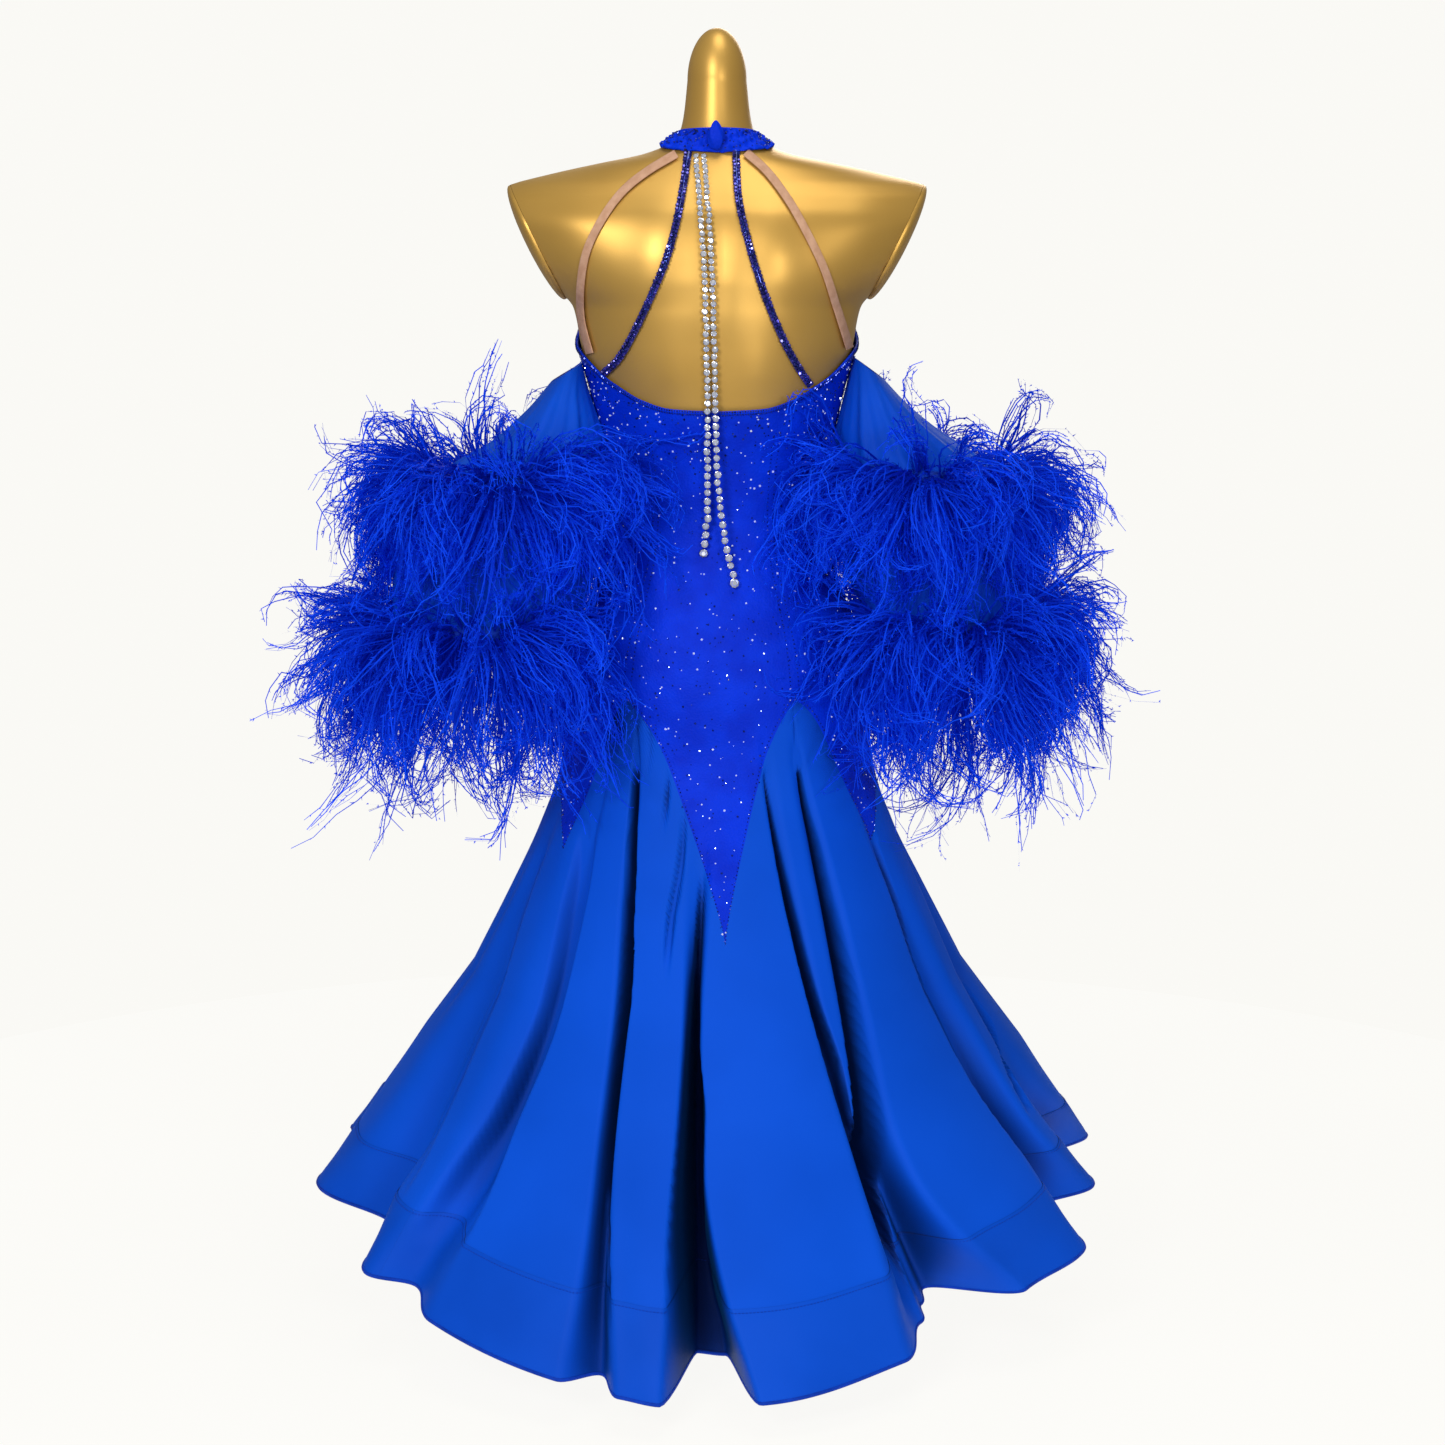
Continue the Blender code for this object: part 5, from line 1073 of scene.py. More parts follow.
def make_bodice_stones(look):
    scatter = np.random.default_rng(11)
    turns, heights, sizes = [], [], []
    for index in range(len(PETAL_ROWS)):
        grid_turns, grid_heights = panel_grid(index)
        grid = body(grid_turns, grid_heights)
        a = np.linalg.norm(grid[1:, :-1] - grid[:-1, :-1], axis=-1)
        b = np.linalg.norm(grid[:-1, 1:] - grid[:-1, :-1], axis=-1)
        cells = (a * b).ravel()
        edge_boost = 1 + 2.2 * smooth_step((grid_heights[:-1, :-1] - 0.86) / 0.08).ravel()
        weights = cells * edge_boost
        count = int(STONES_PER_AREA * weights.sum())
        picked = scatter.choice(len(cells), size=count, p=weights / weights.sum())
        i, j = picked // (grid_turns.shape[1] - 1), picked % (grid_turns.shape[1] - 1)
        u, v = scatter.random(count), scatter.random(count)
        turns.append(grid_turns[i, j] + (grid_turns[i, j + 1] - grid_turns[i, j]) * u)
        heights.append(grid_heights[i, j] + (grid_heights[i + 1, j] - grid_heights[i, j]) * v)
        sizes.append(0.0013 + 0.0018 * scatter.random(count) ** 2)
        low = 74
        for side in (1, -2):
            edge_t, edge_h = grid_turns[-low:, side], grid_heights[-low:, side]
            line = body(edge_t, edge_h)
            lengths = np.concatenate([[0.0], np.cumsum(np.linalg.norm(np.diff(line, axis=0), axis=1))])
            wanted = np.arange(0.002, lengths[-1], 0.0042)
            turns.append(np.interp(wanted, lengths, edge_t))
            heights.append(np.interp(wanted, lengths, edge_h))
            sizes.append(0.0014 + 0.0008 * scatter.random(len(wanted)))
    scattered = np.concatenate([np.full(len(a), k % 3 == 0) for k, a in enumerate(turns)])
    turns, heights, sizes = (np.concatenate(a) for a in (turns, heights, sizes))
    normals = cloth_normals(turns, heights)
    centres = on_body(turns, heights, WALL + 0.0001)
    tilt = scatter.normal(0.0, 0.16, (len(turns), 3))
    template, faces = small_stone_template()
    # A share of the scattered stones are pale crystals that carry the painted glint of the glint stones.
    glinting = (scatter.random(len(turns)) < BRIGHT_SHARE) & scattered
    kinds = (("stones_glinting_crystal", glinting, "glint"), ("stones_blue", ~glinting, "blue_stones"))
    for name, mask, material in kinds:
        made = repeated(f"bodice_{name}", template, faces, centres[mask], (normals + tilt)[mask],
                        scatter.normal(0, 1, (mask.sum(), 3)), sizes[mask], look[material])


# Neckline, collar, knot


def make_binding(look):
    turns = np.linspace(-HALTER_TURN, HALTER_TURN, 420)
    angles = np.radians(np.linspace(-80.0, 260.0, 9))
    top = neckline(turns)
    rows = []
    for a in angles:
        drop = BINDING_HEIGHT / 2 * (1 - math.sin(a))
        off = BINDING_WALL * (0.5 + 0.5 * math.cos(a))
        wave = 0.0003 * np.sin(turns * 3.1 + a)
        rows.append(on_body(turns, top - drop, np.full(len(turns), off) + wave))
    grid = np.stack(rows)
    made = sheet_from("neckline_roll", grid, look["sparkle"])
    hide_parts("neckline_binding")
    scatter = np.random.default_rng(21)
    centres, normals, alongs = [], [], []
    for drop, off in ((0.0012, 0.0032), (0.0038, 0.0034)):
        line = on_body(turns, top - drop, off)
        out = body_normals(turns, top - drop)
        points, ahead = spaced(line, 0.0027)
        normal, _ = spaced_like(line, out, 0.0027)
        centres.append(points)
        normals.append(normal)
        alongs.append(ahead)
    centres, normals, alongs = (np.concatenate(a) for a in (centres, normals, alongs))
    template, faces = small_stone_template()
    tilted = normals + scatter.normal(0, 0.2, normals.shape)
    stones = repeated("neckline_stones", template, faces, centres, tilted,
                      alongs, 0.0018 + 0.0008 * scatter.random(len(centres)), look["blue_stones"])


def make_collar(look):
    turns = np.linspace(-180.0, 180.0, 401)[:-1]
    shares = np.linspace(0.0, 1.0, 21)
    low, high = COLLAR_LOW(np.abs(turns)), COLLAR_HIGH(np.abs(turns))
    heights = high[None, :] + (low - high)[None, :] * shares[:, None]
    spread = np.broadcast_to(turns, heights.shape)
    gather = (
        0.0010 * np.sin(np.radians(spread * 9) + shares[:, None] * 16)
        + 0.0009 * np.sin(np.radians(spread * 23) - shares[:, None] * 11 + 1.3)
        + 0.0006 * np.sin(np.radians(spread * 41) + shares[:, None] * 7 + 0.6)
    )
    rim = 0.0008 * np.sin(np.pi * shares)[:, None]
    snug = CLOTH_CLEARANCE - clearance(spread, heights)
    swell = gather * smooth_step(shares * 6)[:, None]
    outer = on_body(spread, heights, snug + COLLAR_WALL - 0.0008 + rim + swell)
    top_inner = on_body(turns, high - 0.0005, snug[0] + 0.0006)
    low_inner = on_body(turns, low + 0.0005, snug[0] + 0.0006)
    grid = np.concatenate([low_inner[None], top_inner[None], outer, low_inner[None]])[1:]
    band = sheet_from("collar_ruched", grid, look["sparkle"], ring=True)
    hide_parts("collar_band")
    declare_cut(outer, ring=True)
    scatter = np.random.default_rng(31)
    count = 420
    t = scatter.uniform(-180.0, 180.0, count)
    s = scatter.uniform(0.06, 0.94, count)
    h = COLLAR_HIGH(np.abs(t)) + (COLLAR_LOW(np.abs(t)) - COLLAR_HIGH(np.abs(t))) * s
    centres = on_body(t, h, CLOTH_CLEARANCE - clearance(t, h) + COLLAR_WALL + 0.0002)
    normals = body_normals(t, h) + scatter.normal(0, 0.25, (count, 3))
    template, faces = small_stone_template()
    stones = repeated("collar_stones", template, faces, centres, normals, scatter.normal(0, 1, (count, 3)),
                      0.0016 + 0.0012 * scatter.random(count), look["blue_stones"])


def make_knot(look):
    place = np.array([KNOT_PLACE])
    seat = body(place[:, 0], place[:, 1])[0] + body_normals(place[:, 0], place[:, 1])[0] * 0.0046
    rows, columns = 24, 32
    polar = np.linspace(0.02, np.pi - 0.02, rows)[:, None]
    round_it = (2 * np.pi * np.arange(columns) / columns)[None, :]
    z = np.cos(polar) + 0 * round_it
    taper = 1 - 0.45 * np.maximum(0.0, z)
    pleat = 1 + 0.10 * np.sin(5 * round_it + 3 * z) + 0.05 * np.sin(11 * round_it - 5 * z)
    x = np.sin(polar) * np.cos(round_it) * KNOT_SIZE[0] * taper * pleat
    y = np.sin(polar) * np.sin(round_it) * KNOT_SIZE[1] * pleat
    grid = np.stack([x, y, z * KNOT_SIZE[2]], axis=-1) + seat
    grid[..., 1] -= KNOT_SIZE[1] + KNOT_STAND
    made = sheet_from("collar_knot_gathered", grid, look["sparkle"], ring=True)
    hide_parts("collar_knot")


# Straps and strands


def smooth_line(marks, steps):
    """Evenly spaced points on a Catmull-Rom curve through side and height pairs."""
    marks = np.array(marks)
    ends = np.concatenate([[2 * marks[0] - marks[1]], marks, [2 * marks[-1] - marks[-2]]])
    t = (np.arange(12) / 12)[:, None]
    line = []
    for k in range(1, len(ends) - 2):
        p0, p1, p2, p3 = ends[k - 1 : k + 3]
        line.append(0.5 * (2 * p1 + (p2 - p0) * t + (2 * p0 - 5 * p1 + 4 * p2 - p3) * t**2
                           + (3 * p1 - p0 - 3 * p2 + p3) * t**3))
    line = np.concatenate([*line, [marks[-1]]])
    lengths = np.concatenate([[0.0], np.cumsum(np.linalg.norm(np.diff(line, axis=0), axis=1))])
    wanted = np.linspace(0.0, lengths[-1], steps)
    return np.stack([np.interp(wanted, lengths, line[:, k]) for k in range(2)], axis=1)


def strip_turns(line, offsets):
    """Turns and heights of lines parallel to a line on the back."""
    ahead = np.gradient(line, axis=0)
    ahead /= np.linalg.norm(ahead, axis=1, keepdims=True)
    across = np.stack([-ahead[:, 1], ahead[:, 0]], axis=1)
    rows = []
    for off in offsets:
        corner = line + across * off
        turns = turns_on_back(corner[:, 0], corner[:, 1])
        rows.append((turns, corner[:, 1]))
    return rows


def lengthened(marks, top, bottom):
    """The marks with both ends drawn on, so that they reach under the collar and the binding."""
    marks = np.array(marks)
    first = marks[0] + (marks[0] - marks[1]) / np.linalg.norm(marks[0] - marks[1]) * top
    last = marks[-1] + (marks[-1] - marks[-2]) / np.linalg.norm(marks[-1] - marks[-2]) * bottom
    return np.concatenate([[first], marks[1:-1], [last]])


def make_nude_strap(name, marks, look):
    line = smooth_line(lengthened(marks, 0.008, 0.003), 90)
    half = NUDE_WIDTH / 2
    shoulder = 0.86 * half
    profile = (
        (-half, 0.0), (-half, 0.8), (-shoulder, 1.0), (0.0, 1.06), (shoulder, 1.0), (half, 0.8), (half, 0.0),
    )
    rows = strip_turns(line, [x for x, rise in profile])
    grid = []
    for (turns, heights), (x, rise) in zip(rows, profile):
        out = body_normals(turns, heights) * (STRAP_CLEARANCE + NUDE_WALL * rise)
        grid.append(body(turns, heights) + out)
    grid = np.stack(grid, axis=1)
    made = sheet_from(f"elastic_{name}", grid, look["nude"])
    fix_normals(made)
    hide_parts(name)


def make_bead_strap(name, marks, look):
    line = smooth_line(lengthened(marks, 0.008, 0.004), 110)
    half = BEAD_WIDTH / 2
    profile = ((-half, 0.0), (-half, 1.0), (half, 1.0), (half, 0.0))
    rows = strip_turns(line, [x for x, rise in profile])
    grid = []
    for (turns, heights), (x, rise) in zip(rows, profile):
        stand_off = STRAP_CLEARANCE + BEAD_WALL * rise
        grid.append(body(turns, heights) + body_normals(turns, heights) * stand_off)
    base = sheet_from(f"base_{name}", np.stack(grid, axis=1), look["blue_stones"])
    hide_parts(name)
    scatter = np.random.default_rng(len(name) + int(1e4 * abs(marks[1][0])))
    centres, normals, alongs, sizes = [], [], [], []
    for k, (turns, heights) in enumerate(strip_turns(line, (-BEAD_SIZE / 2 * 0.98, BEAD_SIZE / 2 * 0.98))):
        points = body(turns, heights)
        out = body_normals(turns, heights)
        points = points + out * (STRAP_CLEARANCE + BEAD_WALL)
        start = points[4 * k:]
        centre, ahead = spaced(start, BEAD_PITCH)
        normal, _ = spaced_like(start, out[4 * k:], BEAD_PITCH)
        centres.append(centre + scatter.normal(0, 0.00018, centre.shape))
        normals.append(normal + scatter.normal(0, 0.16, normal.shape))
        alongs.append(ahead)
        sizes.append(BEAD_SIZE * scatter.uniform(0.88, 1.08, len(centre)))
    template, faces = stone_template(6)
    stones = repeated(f"stones_{name}", template, faces, np.concatenate(centres), np.concatenate(normals),
                      np.concatenate(alongs), np.concatenate(sizes), look["dark"])


def hang_depths(line):
    """Y of a hanging strand: on the figure where that stands out, and straight between such places."""
    heights = line[:, 1]
    resting = body(turns_on_back(line[:, 0], heights), heights)[:, 1]
    touching = []
    for k in range(len(line)):
        while len(touching) > 1:
            a, b = touching[-2], touching[-1]
            slope = (resting[k] - resting[a]) / (heights[k] - heights[a])
            if resting[b] <= resting[a] + slope * (heights[b] - heights[a]):
                break
            touching.pop()
        touching.append(k)
    rising = touching[::-1]
    return np.interp(heights, heights[rising], resting[rising])


def make_strand(name, marks, look, seed):
    line = smooth_line(lengthened(marks, 0.004, 0.0), 200)
    depth = hang_depths(line)
    stand_off = CLOTH_CLEARANCE + BINDING_WALL + SEAM_GAP
    turns = turns_on_back(line[:, 0], line[:, 1])
    resting = body(turns, line[:, 1]) + body_normals(turns, line[:, 1]) * CLOTH_CLEARANCE
    hanging = np.stack([line[:, 0], depth - stand_off, line[:, 1]], axis=1)
    near = np.clip((line[0, 1] - line[:, 1]) / 0.030, 0.0, 1.0)[:, None]
    points = resting * (1 - near) + hanging * near
    out = body_normals(turns, line[:, 1]) * (1 - near) + np.array([[0.0, -1.0, 0.0]]) * near
    scatter = np.random.default_rng(seed)
    lengths = np.concatenate([[0.0], np.cumsum(np.linalg.norm(np.diff(points, axis=0), axis=1))])
    wanted = [STONE_PITCHES[0] / 2]
    while wanted[-1] < lengths[-1] - STONE_PITCHES[1]:
        share = wanted[-1] / lengths[-1]
        wanted.append(wanted[-1] + STONE_PITCHES[0] + (STONE_PITCHES[1] - STONE_PITCHES[0]) * share)
    wanted = np.array(wanted)
    centres, later, normals = (
        np.stack([np.interp(w, lengths, values[:, k]) for k in range(3)], axis=1)
        for w, values in ((wanted, points), (wanted + STONE_PITCHES[0] / 4, points), (wanted, out))
    )
    ahead = later - centres
    normals = normals + scatter.normal(0, 0.11, normals.shape)
    centres = centres + normals * 0.0006
    centres[:, 0] += scatter.normal(0, 0.00035, len(centres))
    sizes = STONE_SIZES[0] + (STONE_SIZES[1] - STONE_SIZES[0]) * wanted / lengths[-1]
    sizes = sizes * scatter.uniform(0.94, 1.04, len(centres))
    sizes[-1] *= 1.22
    template, faces = stone_template(8, table=0.56, crown=0.24, base=0.30)
    stones = repeated(f"stones_{name}", template, faces, centres, normals, ahead, sizes * 0.88, look["clear"])
    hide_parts(name)
    cup, cup_faces = cup_template(8)
    cups = repeated(f"cups_{name}", cup, cup_faces, centres, normals, ahead, sizes, look["silver"])


def cup_template(sides):
    a = 2 * np.pi * np.arange(sides) / sides
    ring = np.stack([np.cos(a), np.sin(a), np.zeros(sides)], axis=1)
    points = np.concatenate([
        ring * 0.40,
        ring * 0.47 + np.array([0, 0, 0.10]),
        ring * 0.50 + np.array([0, 0, 0.34]),
        ring * 0.44 + np.array([0, 0, 0.36]),
        np.array([[-0.62, -0.10, 0.08], [0.62, -0.10, 0.08], [0.62, 0.10, 0.08], [-0.62, 0.10, 0.08],
                  [-0.62, 0.0, 0.22], [0.62, 0.0, 0.22]]),
    ])
    faces = [list(range(sides))[::-1]]
    for level in range(3):
        for k in range(sides):
            n = (k + 1) % sides
            low, high = level * sides, (level + 1) * sides
            faces.append([low + k, low + n, high + n, high + k])
    bar = 4 * sides
    faces += [[bar, bar + 1, bar + 5, bar + 4], [bar + 2, bar + 3, bar + 4, bar + 5]]
    return points, faces


# Sleeves and feathers


def sleeve_columns(side):
    rows = rows_of(SLEEVE_COLUMNS, SLEEVES[side])
    return rows, {name: column(rows, "height", name) for name in SLEEVE_COLUMNS[1:]}


def sleeve_points(side, heights, angles, outward=0.0):
    rows, table = sleeve_columns(side)
    top, bottom = rows[0]["height"], rows[-1]["height"]
    centre = table["side"](heights)
    inner = -1.0 if side == "right" else 1.0
    open_share = (top - heights) / (top - bottom)
    wave = 1 + sum(size * open_share * np.sin(count * angles + phase) for count, size, phase in SLEEVE_WAVES)
    across = (table["half_width"](heights) * wave + outward) * np.cos(angles)
    along = (table["half_depth"](heights) * wave + outward) * np.sin(angles)
    rise = table["lean"](heights) * inner * np.cos(angles)
    return np.stack([centre + across, table["depth"](heights) + along, heights + rise], axis=-1)


def clear_of_gown(points, room):
    """Points moved out sideways where they lie nearer the gown than this."""
    heights = np.clip(points[..., 2], HEM_LINE, NECKLINE[-1][1])
    turns = np.degrees(np.arctan2(points[..., 0], -points[..., 1]))
    grown = clearance(turns, heights) + WALL + room
    power = SECTION["squareness"](heights)
    width = SECTION["half_width"](heights) + grown
    depth = np.where(points[..., 1] < 0, SECTION["back"](heights), SECTION["front"](heights)) + grown
    reach = np.abs(points[..., 0] / width) ** power + np.abs(points[..., 1] / depth) ** power
    scale = np.where(reach < 1, np.maximum(reach, 1e-6) ** (-1 / power), 1.0)
    moved = points.copy()
    moved[..., 0] *= scale
    moved[..., 1] *= scale
    return moved


def clear_of_sleeve(points, side, room):
    rows, table = sleeve_columns(side)
    top, bottom = rows[0]["height"], rows[-1]["height"]
    heights = np.maximum(points[..., 2], bottom)
    x, y = points[..., 0] - table["side"](heights), points[..., 1] - table["depth"](heights)
    reach = np.hypot(x / (table["half_width"](heights) + room), y / (table["half_depth"](heights) + room))
    inside = (reach < 1) & (points[..., 2] > bottom - room) & (points[..., 2] < top)
    scale = np.where(inside, 1 / np.maximum(reach, 0.05) - 1, 0.0)
    moved = points.copy()
    moved[..., 0] += x * scale
    moved[..., 1] += y * scale
    return moved


def make_sleeve(side, look):
    rows, table = sleeve_columns(side)
    heights = np.linspace(rows[0]["height"], rows[-1]["height"], 64)[:, None]
    angles = (2 * np.pi * np.arange(150) / 150)[None, :]
    down = smooth_step((rows[0]["height"] - heights) / 0.09)
    turning = 6 * (rows[0]["height"] - heights)
    pleats = sum(size * np.sin(count * angles + phase + turning) for count, size, phase in SLEEVE_PLEATS)
    grid = sleeve_points(side, heights + 0 * angles, angles + 0 * heights, SLEEVE_WALL / 2)
    level = 0 * heights + 0 * angles
    out = np.stack([np.cos(angles) + level, np.sin(angles) + level, level], axis=-1)
    grid = grid + out * (pleats * down)[..., None]
    grid = clear_of_gown(grid, SLEEVE_GAP)
    made = sheet_from(f"chiffon_sleeve_{side}", grid, look["chiffon"], ring=True)
    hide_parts(f"sleeve_{side}")
    declare_cut(grid, ring=True)


def unit(v):
    return v / np.maximum(np.linalg.norm(v, axis=-1, keepdims=True), 1e-9)


def swirl(points, phase):
    """A smooth field of directions: plumes that lie near each other lean the same way."""
    parts = [np.sin(points @ np.array(wave) + phase + 2 * k) for k, wave in enumerate(SWIRL_WAVES)]
    return np.stack(parts, axis=-1)


def turned_about(ways, axes, angles):
    """Each way turned about its own axis."""
    c, s = np.cos(angles)[:, None], np.sin(angles)[:, None]
    return ways * c + np.cross(axes, ways) * s + axes * (axes * ways).sum(axis=1, keepdims=True) * (1 - c)


def tuft_paths(spec, scatter):
    """The middle lines of a trim's tufts. They leave the band, arch over and end in a hook."""
    side = spec["sleeve"]
    inward = 1.0 if side == "left" else -1.0
    angle = scatter.uniform(0.0, 2 * np.pi, TUFTS * 3)
    angle = angle[np.cos(angle) * inward < FACING_BODY][:TUFTS]
    tier = scatter.random(TUFTS) ** LOW_SHARE
    heights = spec["height"] + FEATHER_BAND_HEIGHT * (0.5 - tier)
    point = sleeve_points(side, heights, angle, SLEEVE_WALL + 2 * SEAM_GAP + FEATHER_BAND_WALL * 0.8)
    outward = np.stack([np.cos(angle), np.sin(angle), np.zeros(TUFTS)], axis=1)
    sweeping = (outward[:, 1] < 0) & (outward[:, 0] * inward > -0.1)
    outward[sweeping, 0] += inward * spec["sweep"] * -outward[sweeping, 1]
    outward = unit(outward)
    rise = spec["high_rise"] + (spec["low_rise"] - spec["high_rise"]) * tier
    rise = np.radians(rise + scatter.normal(0, RISE_SCATTER, TUFTS))
    reach = spec["short"] + (spec["long"] - spec["short"]) * np.abs(outward[:, 0])
    reach = reach * (1 + (spec["stretch"] - 1) * tier) * scatter.uniform(0.50, 1.10, TUFTS)
    way = outward * np.cos(rise)[:, None] + np.array([0.0, 0.0, 1.0]) * np.sin(rise)[:, None]
    way = unit(way + scatter.normal(0, 0.20, way.shape))
    down = np.array([0.0, 0.0, -1.0])
    axis = unit(np.cross(way, down + scatter.normal(0, 0.7, way.shape)))
    hook = np.radians(scatter.uniform(*HOOK_ANGLES, TUFTS))
    hook = hook * np.where(scatter.random(TUFTS) < HOOK_UNDER, 1.0, -HOOK_BACK)
    points = [point]
    for k in range(1, STRAND_POINTS):
        s = k / (STRAND_POINTS - 1)
        drop = down * DROOP * (0.4 + s) / (STRAND_POINTS - 1)
        way = unit(way + drop + swirl(point, spec["seed"]) * SWIRL * s)
        way = turned_about(way, axis, hook * 4 * s**3 / (STRAND_POINTS - 1))
        point = point + way * (reach / (STRAND_POINTS - 1))[:, None]
        low = point[:, 2] < spec["floor"]
        point[low, 2] = spec["floor"] + 0.25 * (point[low, 2] - spec["floor"])
        point = clear_of_sleeve(point, side, 0.004 + 0.008 * s)
        point = clear_of_gown(point, 0.004 + 0.006 * s)
        points.append(point)
    return np.stack(points, axis=1)


def strand_paths(spec, scatter):
    """Paths of all strands of a trim: strands by points by XYZ. A tuft's strands fan out and cling again."""
    guides = tuft_paths(spec, scatter)
    total = TUFTS * TUFT_STRANDS
    s = np.linspace(0.0, 1.0, STRAND_POINTS)
    guides = np.repeat(guides, TUFT_STRANDS, axis=0)
    wild = scatter.random(total) < 0.07
    length = scatter.uniform(0.72, 1.0, total) + 0.12 * wild
    at = np.clip(s[None, :] * length[:, None], 0.0, 1.0) * (STRAND_POINTS - 1)
    k = np.minimum(at.astype(int), STRAND_POINTS - 2)
    t = (at - k)[..., None]
    each = np.arange(total)[:, None]
    paths = guides[each, k] * (1 - t) + guides[each, k + 1] * t
    ahead = unit(np.gradient(paths, axis=1))
    aside = scatter.normal(0, 1, (total, 1, 3))
    aside = unit(aside - (aside * ahead).sum(axis=-1, keepdims=True) * ahead)
    root, middle = TUFT_SPREAD
    fan = np.sin(np.pi * np.minimum(s, 0.62) / 1.24)
    spread = root + middle * fan * (1 - (1 - TUFT_GATHER) * smooth_step((s - 0.55) / 0.45))
    spread = spread[None, :] * np.where(wild, 1.9, scatter.uniform(0.3, 1.25, total))[:, None]
    paths = paths + aside * spread[..., None]
    ripple = swirl(paths * 2.6, spec["seed"] + scatter.uniform(0, 6, (total, 1)))
    paths = paths + ripple * (0.0035 * s)[None, :, None]
    return paths


def make_feathers(spec, look):
    scatter = np.random.default_rng(spec["seed"])
    paths = strand_paths(spec, scatter)
    low = np.array(CAD_BOX[0]) - PLUME_ROOM
    high = np.array(CAD_BOX[1]) + PLUME_ROOM
    paths = np.clip(paths, low, high)
    total, count = paths.shape[:2]
    random_tint = np.repeat(scatter.random(TUFTS), TUFT_STRANDS) * 0.6 + 0.4 * scatter.random(total)
    ahead = unit(np.gradient(paths, axis=1))
    side = unit(np.cross(ahead, scatter.normal(0, 1, (total, 1, 3)) + 0 * ahead))
    s = np.linspace(0.0, 1.0, count)
    width = (TIP_HALF_WIDTH + (STRAND_HALF_WIDTH - TIP_HALF_WIDTH) * (1 - s))[None, :, None]
    ribbon = np.stack([paths - side * width, paths + side * width], axis=2).reshape(total, count * 2, 3)
    base = 2 * np.arange(count - 1)[None, :] + (np.arange(total) * count * 2)[:, None]
    ribbon_faces = np.stack([base, base + 1, base + 3, base + 2], axis=-1).reshape(-1, 4)

    along = scatter.uniform(0.04, 0.99, (total, BARBS)) * (count - 1)
    k = np.minimum(along.astype(int), count - 2)
    t = (along - k)[..., None]
    each = np.arange(total)[:, None]
    foot = paths[each, k] * (1 - t) + paths[each, k + 1] * t
    way = ahead[each, k]
    around = unit(np.cross(way, scatter.normal(0, 1, way.shape)))
    taper = 1.15 - 0.55 * along[..., None] / (count - 1)
    length = scatter.uniform(*BARB_LENGTHS, (total, BARBS, 1)) * taper
    tip = foot + (way * 0.55 + around * 0.83) * length
    wide = unit(np.cross(around, scatter.normal(0, 1, way.shape))) * BARB_HALF_WIDTH
    barbs = np.stack([foot - wide, foot + wide, tip], axis=2).reshape(-1, 3)
    barb_faces = total * count * 2 + np.arange(total * BARBS * 3).reshape(-1, 3)

    # Painted shade: a strand is darker at its root, deep in the plume, and lighter towards its tip; each tuft
    # and strand also differs in tint at random.
    ribbon_shade_and_tint = np.repeat(0.75 * s[None, :] ** 0.8 + 0.5 * (random_tint[:, None] - 0.35), 2, axis=1)
    barb_shade_and_tint = 0.75 * (along / (count - 1)) ** 0.8 + 0.5 * (random_tint[:, None] - 0.35)
    painted_shade_and_tint = np.concatenate([ribbon_shade_and_tint.ravel(), np.repeat(barb_shade_and_tint.ravel(), 3)])
    points = np.concatenate([ribbon.reshape(-1, 3), np.clip(barbs, low, high)])
    mesh = bpy.data.meshes.new(spec["name"])
    mesh.from_pydata(points.tolist(), [], ribbon_faces.tolist() + barb_faces.tolist())
    mesh.update()
    attribute = mesh.attributes.new("painted_shade_and_tint", "FLOAT", "POINT")
    attribute.data.foreach_set("value", np.clip(painted_shade_and_tint, 0.0, 1.0).astype(np.float32))
    made = add_object(spec["name"].replace("feathers", "plumes"), mesh, look["plume"])
    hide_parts(spec["name"])
    make_feather_band(spec, look)


def make_feather_band(spec, look):
    angles = (2 * np.pi * np.arange(120) / 120)[None, :]
    profile = ((0.5, 0.0), (0.5, 1.0), (0.0, 1.3), (-0.5, 1.0), (-0.5, 0.0))
    rows = []
    for share, out in profile:
        height = spec["height"] + FEATHER_BAND_HEIGHT * share
        rows.append(sleeve_points(spec["sleeve"], np.full((1, 120), height), angles,
                                  SLEEVE_WALL + 2 * SEAM_GAP + FEATHER_BAND_WALL * out)[0])
    band = sheet_from(spec["name"].replace("feathers", "plume_band"), np.stack(rows), look["roll"], ring=True)


# Stage


def make_stage():
    mesh = bpy.data.meshes.new("floor")
    a = 2 * np.pi * np.arange(FLOOR_SIDES) / FLOOR_SIDES
    points = [(FLOOR_RADIUS * math.cos(t), FLOOR_RADIUS * math.sin(t), 0.0) for t in a]
    mesh.from_pydata(points, [], [list(range(FLOOR_SIDES))])
    material = new_material("floor_paint", (0.06, 0.06, 0.06), 0.9,
                            Specular_IOR_Level=0.0, Emission_Strength=0.93,
                            Emission_Color=(1.0, 0.992, 0.957, 1.0))
    add_colours(material, 0.5, (0.05, 0.05, 0.05), (0.07, 0.07, 0.07))
    mesh.materials.append(material)
    floor = bpy.data.objects.new("floor", mesh)
    bpy.context.scene.collection.objects.link(floor)


def area_light(name, place, target, size, power, colour=(1.0, 1.0, 1.0)):
    lamp = bpy.data.lights.new(name, "AREA")
    lamp.shape, lamp.size, lamp.energy, lamp.color = "SQUARE", size, power, colour
    placed = bpy.data.objects.new(name, lamp)
    placed.location = place
    placed.rotation_euler = (Vector(target) - Vector(place)).to_track_quat("-Z", "Y").to_euler()
    bpy.context.scene.collection.objects.link(placed)


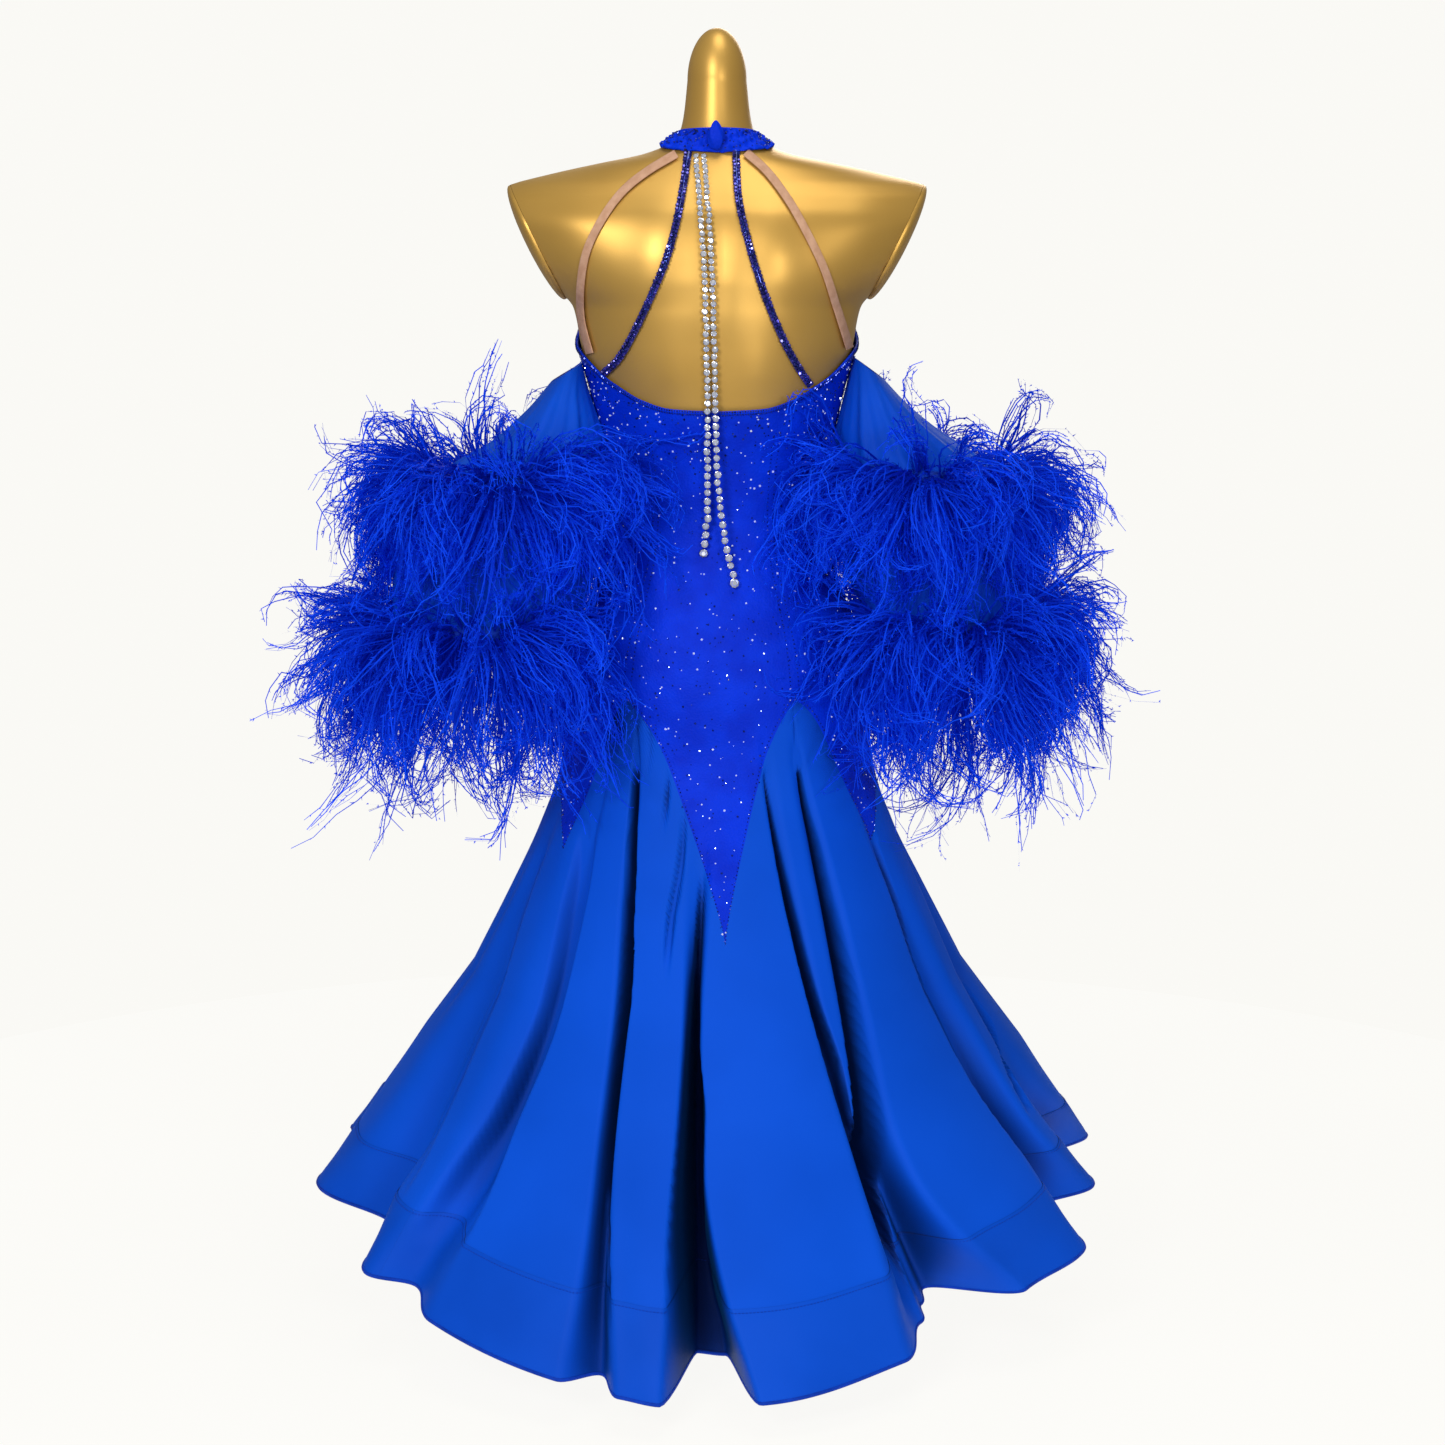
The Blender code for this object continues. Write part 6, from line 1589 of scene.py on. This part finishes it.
def make_world():
    scene = bpy.context.scene
    world = bpy.data.worlds.new("studio")
    scene.world = world
    world.use_nodes = True
    tree = world.node_tree
    nodes = tree.nodes
    soft = nodes["Background"]
    soft.inputs["Color"].default_value = (0.92, 0.95, 1.0, 1.0)
    soft.inputs["Strength"].default_value = 0.24
    seen = nodes.new("ShaderNodeBackground")
    seen.inputs["Color"].default_value = (0.957, 0.949, 0.915, 1.0)
    seen.inputs["Strength"].default_value = 1.0
    path = nodes.new("ShaderNodeLightPath")
    mix = nodes.new("ShaderNodeMixShader")
    link(tree, path.outputs["Is Camera Ray"], mix.inputs[0])
    link(tree, soft.outputs[0], mix.inputs[1])
    link(tree, seen.outputs[0], mix.inputs[2])
    link(tree, mix.outputs[0], nodes["World Output"].inputs["Surface"])
    area_light("key", (-1.3, -3.4, 2.3), (0.0, 0.0, 0.75), 0.9, 66.0)
    area_light("fill", (1.1, -3.2, 1.3), (0.0, 0.0, 0.9), 0.7, 24.0)
    area_light("top", (0.3, -0.6, 3.4), (0.0, 0.0, 0.8), 1.4, 22.0)
    area_light("rear", (0.6, 3.4, 2.4), (0.0, 0.0, 0.8), 1.8, 40.0)
    scene.view_settings.view_transform = "Standard"


def make_camera():
    data = bpy.data.cameras.new("camera")
    data.lens = CAMERA_LENS
    data.shift_x = (PHOTO_WIDTH / 2 - PHOTO_AXIS) / PHOTO_WIDTH
    camera = bpy.data.objects.new("camera", data)
    camera.location = CAMERA_PLACE
    camera.rotation_euler = (math.radians(90.0 - CAMERA_PITCH), 0.0, 0.0)
    bpy.context.scene.collection.objects.link(camera)
    bpy.context.scene.camera = camera


def main():
    look = make_materials()
    for name in ("stand_base", "stand_hub", "stand_pole", "stand_flange"):
        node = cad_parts[name]
        node.data.materials.clear()
        node.data.materials.append(look["steel"])
    make_form(look)
    make_panels(look)
    make_skirt(look)
    make_bodice_stones(look)
    make_binding(look)
    make_collar(look)
    make_knot(look)
    make_nude_strap("nude_strap_left", NUDE_STRAP_LEFT, look)
    make_nude_strap("nude_strap_right", NUDE_STRAP_RIGHT, look)
    make_bead_strap("bead_strap_left", BEAD_STRAP_LEFT, look)
    make_bead_strap("bead_strap_right", BEAD_STRAP_RIGHT, look)
    make_strand("crystal_strand_left", STRAND_LEFT, look, 41)
    make_strand("crystal_strand_right", STRAND_RIGHT, look, 43)
    for side in SLEEVES:
        make_sleeve(side, look)
    for spec in rows_of(FEATHER_COLUMNS, FEATHERS):
        make_feathers(spec, look)
    make_stage()
    make_world()
    make_camera()


main()
